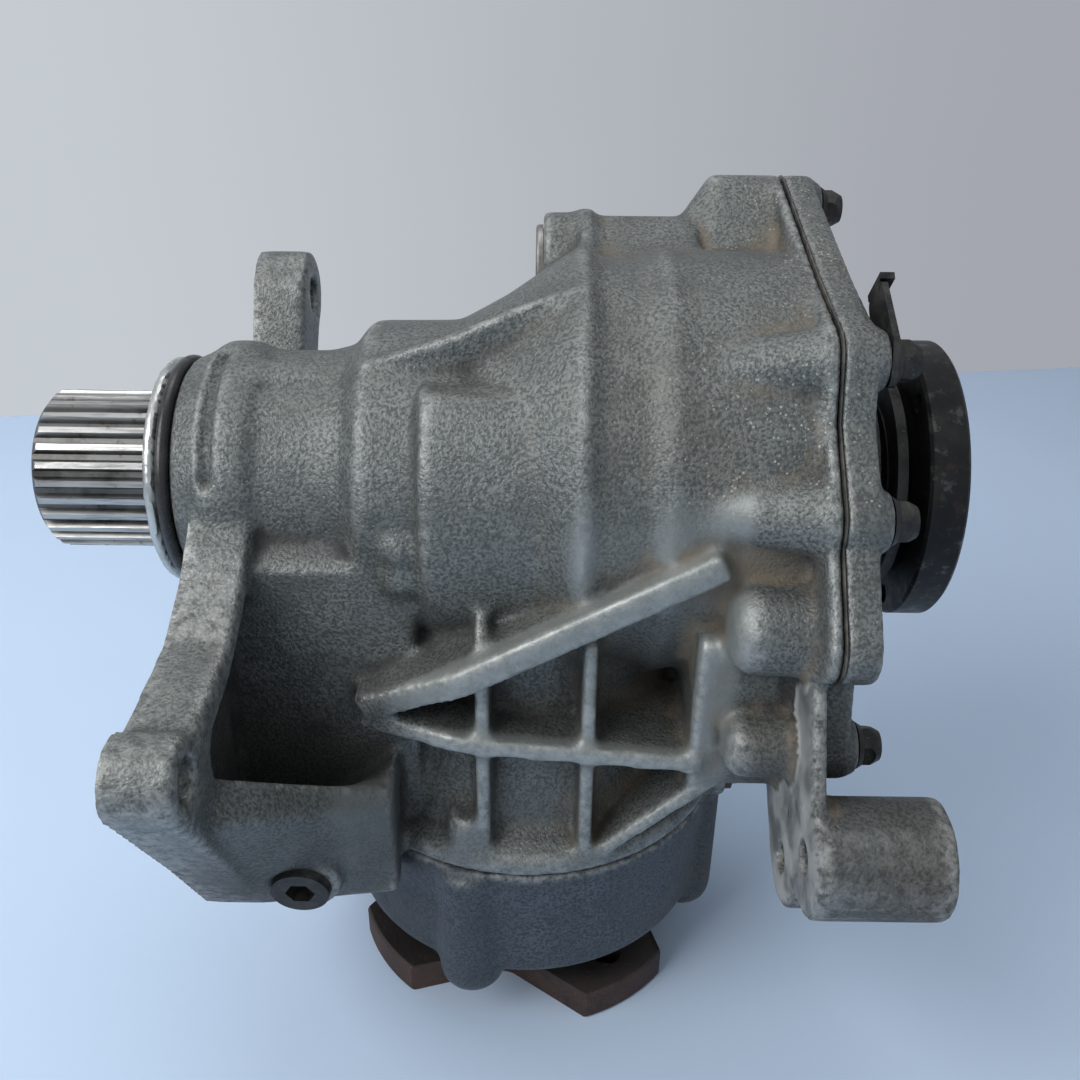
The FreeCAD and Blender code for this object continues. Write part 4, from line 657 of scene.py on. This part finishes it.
class DIFFERENTIAL_OT_cover_casting(Operator):
    """Make the bearing cover's cast skin"""

    bl_idname = "differential.cover_casting"
    bl_label = "Cover casting"

    def execute(self, context):
        sizes = context.scene.differential_casting
        finish = cast_alloy("cover_cast_alloy", sizes, tuple(sizes.alloy))
        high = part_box("bearing_cover")[1]
        cast_skin("cover_casting", "bearing_cover", finish,
                  [near_bore(0.0, AXLE, SEAL_RADIUS, 0.003, 0.100, 0.130)], [milled(0, high.x, 1.0)],
                  finer=0.85)
        return {"FINISHED"}


class DIFFERENTIAL_OT_pinion_casting(Operator):
    """Make the pinion housing's cast skin"""

    bl_idname = "differential.pinion_casting"
    bl_label = "Pinion casting"

    def execute(self, context):
        sizes = context.scene.differential_casting
        # the pinion housing's colour is a darker, bluish copy of the alloy: painted shade and painted
        # reflection of the floor
        finish = cast_alloy("pinion_cast_alloy", sizes, tuple(sizes.shaded_alloy), grain=0.45, dusty=0.5)
        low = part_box("pinion_housing")[0]
        cast_skin("pinion_casting", "pinion_housing", finish, [],
                  [milled(2, low.z, -1.0)], finer=0.9)
        return {"FINISHED"}


class DIFFERENTIAL_OT_input_flange(Operator):
    """Make the forged four-arm input flange with its rounded edges"""

    bl_idname = "differential.input_flange"
    bl_label = "Input flange"

    def execute(self, context):
        metal = context.scene.differential_metal
        work = bmesh.new()
        work.from_mesh(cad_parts["input_flange"].data)
        bmesh.ops.remove_doubles(work, verts=work.verts, dist=1e-6)
        bmesh.ops.dissolve_limit(work, angle_limit=math.radians(1.0), verts=work.verts, edges=work.edges)
        mesh = bpy.data.meshes.new("input_flange_forging")
        work.to_mesh(mesh)
        work.free()
        obj = bpy.data.objects.new("input_flange_forging", mesh)
        context.collection.objects.link(obj)
        modifier = obj.modifiers.new("edges", "BEVEL")
        modifier.width = metal.edge
        modifier.segments = 2
        modifier.limit_method = "ANGLE"
        modifier.angle_limit = math.radians(50.0)
        modifier.harden_normals = False
        mesh.shade_smooth()
        mesh.set_sharp_from_angle(angle=math.radians(35.0))
        mesh.materials.clear()
        mesh.materials.append(rusty_forging("flange_rust_oily", metal, oily_above=0.014))
        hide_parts("input_flange")
        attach(obj, "pinion")
        return {"FINISHED"}


class DIFFERENTIAL_OT_steel_parts(Operator):
    """Give every part kept from the solids its worn finish"""

    bl_idname = "differential.steel_parts"
    bl_label = "Steel and rubber parts"

    def execute(self, context):
        metal = context.scene.differential_metal
        bright = tuple(metal.bright)
        finishes = {
            "gasket_black": rubber("gasket_dusty", (0.040, 0.041, 0.039), (0.125, 0.118, 0.102)),
            "bolt_black": blackened_steel("bolt_black_worn", metal, rusty=0.30),
            "machined_steel": turned_steel("turned_steel_oily", bright),
            "plug_steel": blackened_steel("plug_steel_stained", metal, rusty=0.12, rough=0.40),
            "rusty_steel": rusty_forging("drain_plug_rust", metal),
            "pressed_steel": turned_steel("pressed_steel_dull", (0.30, 0.29, 0.28), rough=0.40, amount=0.8),
            "rubber_black": rubber("rubber_black_worn"),
            "black_bracket": blackened_steel("bracket_black_worn", metal, rusty=0.18, rough=0.38),
            "rusty_flange": rusty_forging("forging_rust", metal),
            "dark_flange": mottled_flange(metal),
            "spline_steel": worn_spline_steel(metal),
            "cast_iron_case": cast_iron("case_cast_iron"),
            "gear_steel": ground_gear_steel("gear_steel_oily", (0.34, 0.335, 0.33)),
            "bronze_washer": bronze("washer_bronze", metal),
            # for the castings' own solids, which the cast skins replace
            "cast_housing": turned_steel("spare_alloy", (0.3, 0.3, 0.3)),
            "cast_lower": turned_steel("spare_alloy_lower", (0.3, 0.3, 0.3)),
        }
        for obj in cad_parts.values():
            for place in obj.material_slots:
                place.material = finishes[place.material.name.split(".")[0]]
        return {"FINISHED"}


class DIFFERENTIAL_OT_stage(Operator):
    """Make the floor, the wall, the lamps and the camera"""

    bl_idname = "differential.stage"
    bl_label = "Stage"

    def execute(self, context):
        stage = context.scene.differential_stage
        floor = self.board("floor_board", floor_paint(stage))
        bmesh_grid(floor, Matrix.Identity(4))
        wall = self.board("back_wall", wall_paint(stage))
        behind = Matrix.Translation((0.0, stage.wall_distance, 0.0))
        bmesh_grid(wall, behind @ turned_by(((WALL_TURN, "Z"), (90.0, "X"))))
        self.lamp(context, "window_lamp", (-0.85, -0.62, 1.02), (0.0, -0.02, LAMP_AIM), 0.9, stage.window,
                  (1.0, 0.99, 0.98))
        self.lamp(context, "back_lamp", (-0.10, 0.42, 1.30), (0.0, 0.0, LAMP_AIM), 0.8, stage.back,
                  (1.0, 0.99, 0.97))
        context.scene.world = room_light(stage)
        context.scene.view_settings.view_transform = "Standard"
        camera = bpy.data.objects.new("camera", bpy.data.cameras.new("camera"))
        context.collection.objects.link(camera)
        camera.data.sensor_width = camera.data.lens = CAMERA_LENS
        camera.data.clip_start = 0.01
        camera.matrix_world = Matrix.Translation(CAMERA_PLACE) @ turned_by(CAMERA_TURNS)
        context.scene.camera = camera
        return {"FINISHED"}

    @staticmethod
    def board(name, finish):
        """Object without points yet, with its finish."""
        obj = bpy.data.objects.new(name, bpy.data.meshes.new(name))
        obj.data.materials.append(finish)
        bpy.context.collection.objects.link(obj)
        return obj

    @staticmethod
    def lamp(context, name, place, aim, size, power, tint):
        data = bpy.data.lights.new(name, "AREA")
        data.shape = "RECTANGLE"
        data.size = data.size_y = size
        data.energy = power
        data.color = tint
        obj = bpy.data.objects.new(name, data)
        obj.location = place
        obj.rotation_euler = (Vector(aim) - Vector(place)).to_track_quat("-Z", "Y").to_euler()
        context.collection.objects.link(obj)


def turned_by(turns):
    """Matrix of several turns, each (degrees, axis), the last one applied first."""
    total = Matrix.Identity(4)
    for degrees, axis in turns:
        total = total @ Matrix.Rotation(math.radians(degrees), 4, axis)
    return total


def bmesh_grid(obj, place):
    """Gives a board its large flat mesh."""
    work = bmesh.new()
    bmesh.ops.create_grid(work, x_segments=2, y_segments=2, size=6.0, matrix=place)
    work.to_mesh(obj.data)
    work.free()


def floor_paint(stage):
    """Pale half-matt board, very slightly uneven."""
    f = Finish("floor_board_paint", roughness=0.42, specular=0.25)
    tone = tuple(stage.floor)
    base = f.blend(f.span(f.noise(2.0, 3.0), 0.3, 0.7), [c * 0.95 for c in tone], tone)
    f.relief(f.noise(260.0, 3.0), 0.0001, 0.2)
    return f.done(base)


def wall_paint(stage):
    """Pale wall that shows its own tone to the camera and to gloss, with painted window light: brighter
    towards the window.
    """
    f = Finish("back_wall_paint", roughness=0.8, specular=0.2)
    # painted window light: the tone goes from lighter on the left to darker on the right
    lean = f.math("ADD", f.split()[0], f.math("MULTIPLY", f.noise(2.5, 3.0), 0.12))
    tone = f.blend(f.span(lean, -0.45, 0.55), tuple(stage.wall_left), tuple(stage.wall_right))
    glow = f.add("ShaderNodeEmission")
    f.feed(glow.inputs["Color"], tone)
    mixed = f.add("ShaderNodeMixShader")
    f.feed(mixed.inputs[0], seen_directly(f.tree))
    f.done(tone)
    f.feed(mixed.inputs[1], f.shader.outputs[0])
    f.feed(mixed.inputs[2], glow.outputs[0])
    f.feed(f.tree.nodes["Material Output"].inputs["Surface"], mixed.outputs[0])
    return f.material


def seen_directly(tree):
    """1 for camera, glossy and transmission rays."""
    path = tree.nodes.new("ShaderNodeLightPath")
    total = path.outputs["Is Camera Ray"]
    for name in ("Is Glossy Ray", "Is Transmission Ray"):
        larger = tree.nodes.new("ShaderNodeMath")
        larger.operation = "MAXIMUM"
        tree.links.new(total, larger.inputs[0])
        tree.links.new(path.outputs[name], larger.inputs[1])
        total = larger.outputs[0]
    return total


def room_light(stage):
    """World that lights evenly from all round and looks like the pale wall from every side."""
    world = bpy.data.worlds.new("room")
    world.use_nodes = True
    tree = world.node_tree
    light = tree.nodes["Background"]
    light.inputs["Color"].default_value = (0.95, 0.98, 1.0, 1.0)
    light.inputs["Strength"].default_value = stage.sky
    seen = tree.nodes.new("ShaderNodeBackground")
    seen.inputs["Color"].default_value = (*stage.wall_left, 1.0)
    mixed = tree.nodes.new("ShaderNodeMixShader")
    tree.links.new(seen_directly(tree), mixed.inputs[0])
    tree.links.new(light.outputs[0], mixed.inputs[1])
    tree.links.new(seen.outputs[0], mixed.inputs[2])
    tree.links.new(mixed.outputs[0], tree.nodes["World Output"].inputs["Surface"])
    return world


class DIFFERENTIAL_PT_panel(Panel):
    """Sizes, colours and pieces of the differential"""

    bl_idname = "DIFFERENTIAL_PT_panel"
    bl_label = "Differential"
    bl_space_type = "VIEW_3D"
    bl_region_type = "UI"
    bl_category = "Differential"

    def draw(self, context):
        for group in (context.scene.differential_casting, context.scene.differential_metal,
                      context.scene.differential_stage):
            box = self.layout.box()
            for key in group.__annotations__:
                box.prop(group, key)
        for operator in OPERATORS:
            self.layout.operator(operator.bl_idname)


OPERATORS = (DIFFERENTIAL_OT_steel_parts, DIFFERENTIAL_OT_main_casting, DIFFERENTIAL_OT_cover_casting,
             DIFFERENTIAL_OT_pinion_casting, DIFFERENTIAL_OT_input_flange, DIFFERENTIAL_OT_stage)
CLASSES = (CastingSizes, MetalSizes, StageSizes) + OPERATORS + (DIFFERENTIAL_PT_panel,)


def register():
    for item in CLASSES:
        bpy.utils.register_class(item)
    bpy.types.Scene.differential_casting = PointerProperty(type=CastingSizes)
    bpy.types.Scene.differential_metal = PointerProperty(type=MetalSizes)
    bpy.types.Scene.differential_stage = PointerProperty(type=StageSizes)


def unregister():
    del bpy.types.Scene.differential_stage
    del bpy.types.Scene.differential_metal
    del bpy.types.Scene.differential_casting
    for item in reversed(CLASSES):
        bpy.utils.unregister_class(item)


def main():
    register()
    bpy.ops.differential.steel_parts()
    bpy.ops.differential.main_casting()
    bpy.ops.differential.cover_casting()
    bpy.ops.differential.pinion_casting()
    bpy.ops.differential.input_flange()
    bpy.ops.differential.stage()


if __name__ == "__main__":
    main()
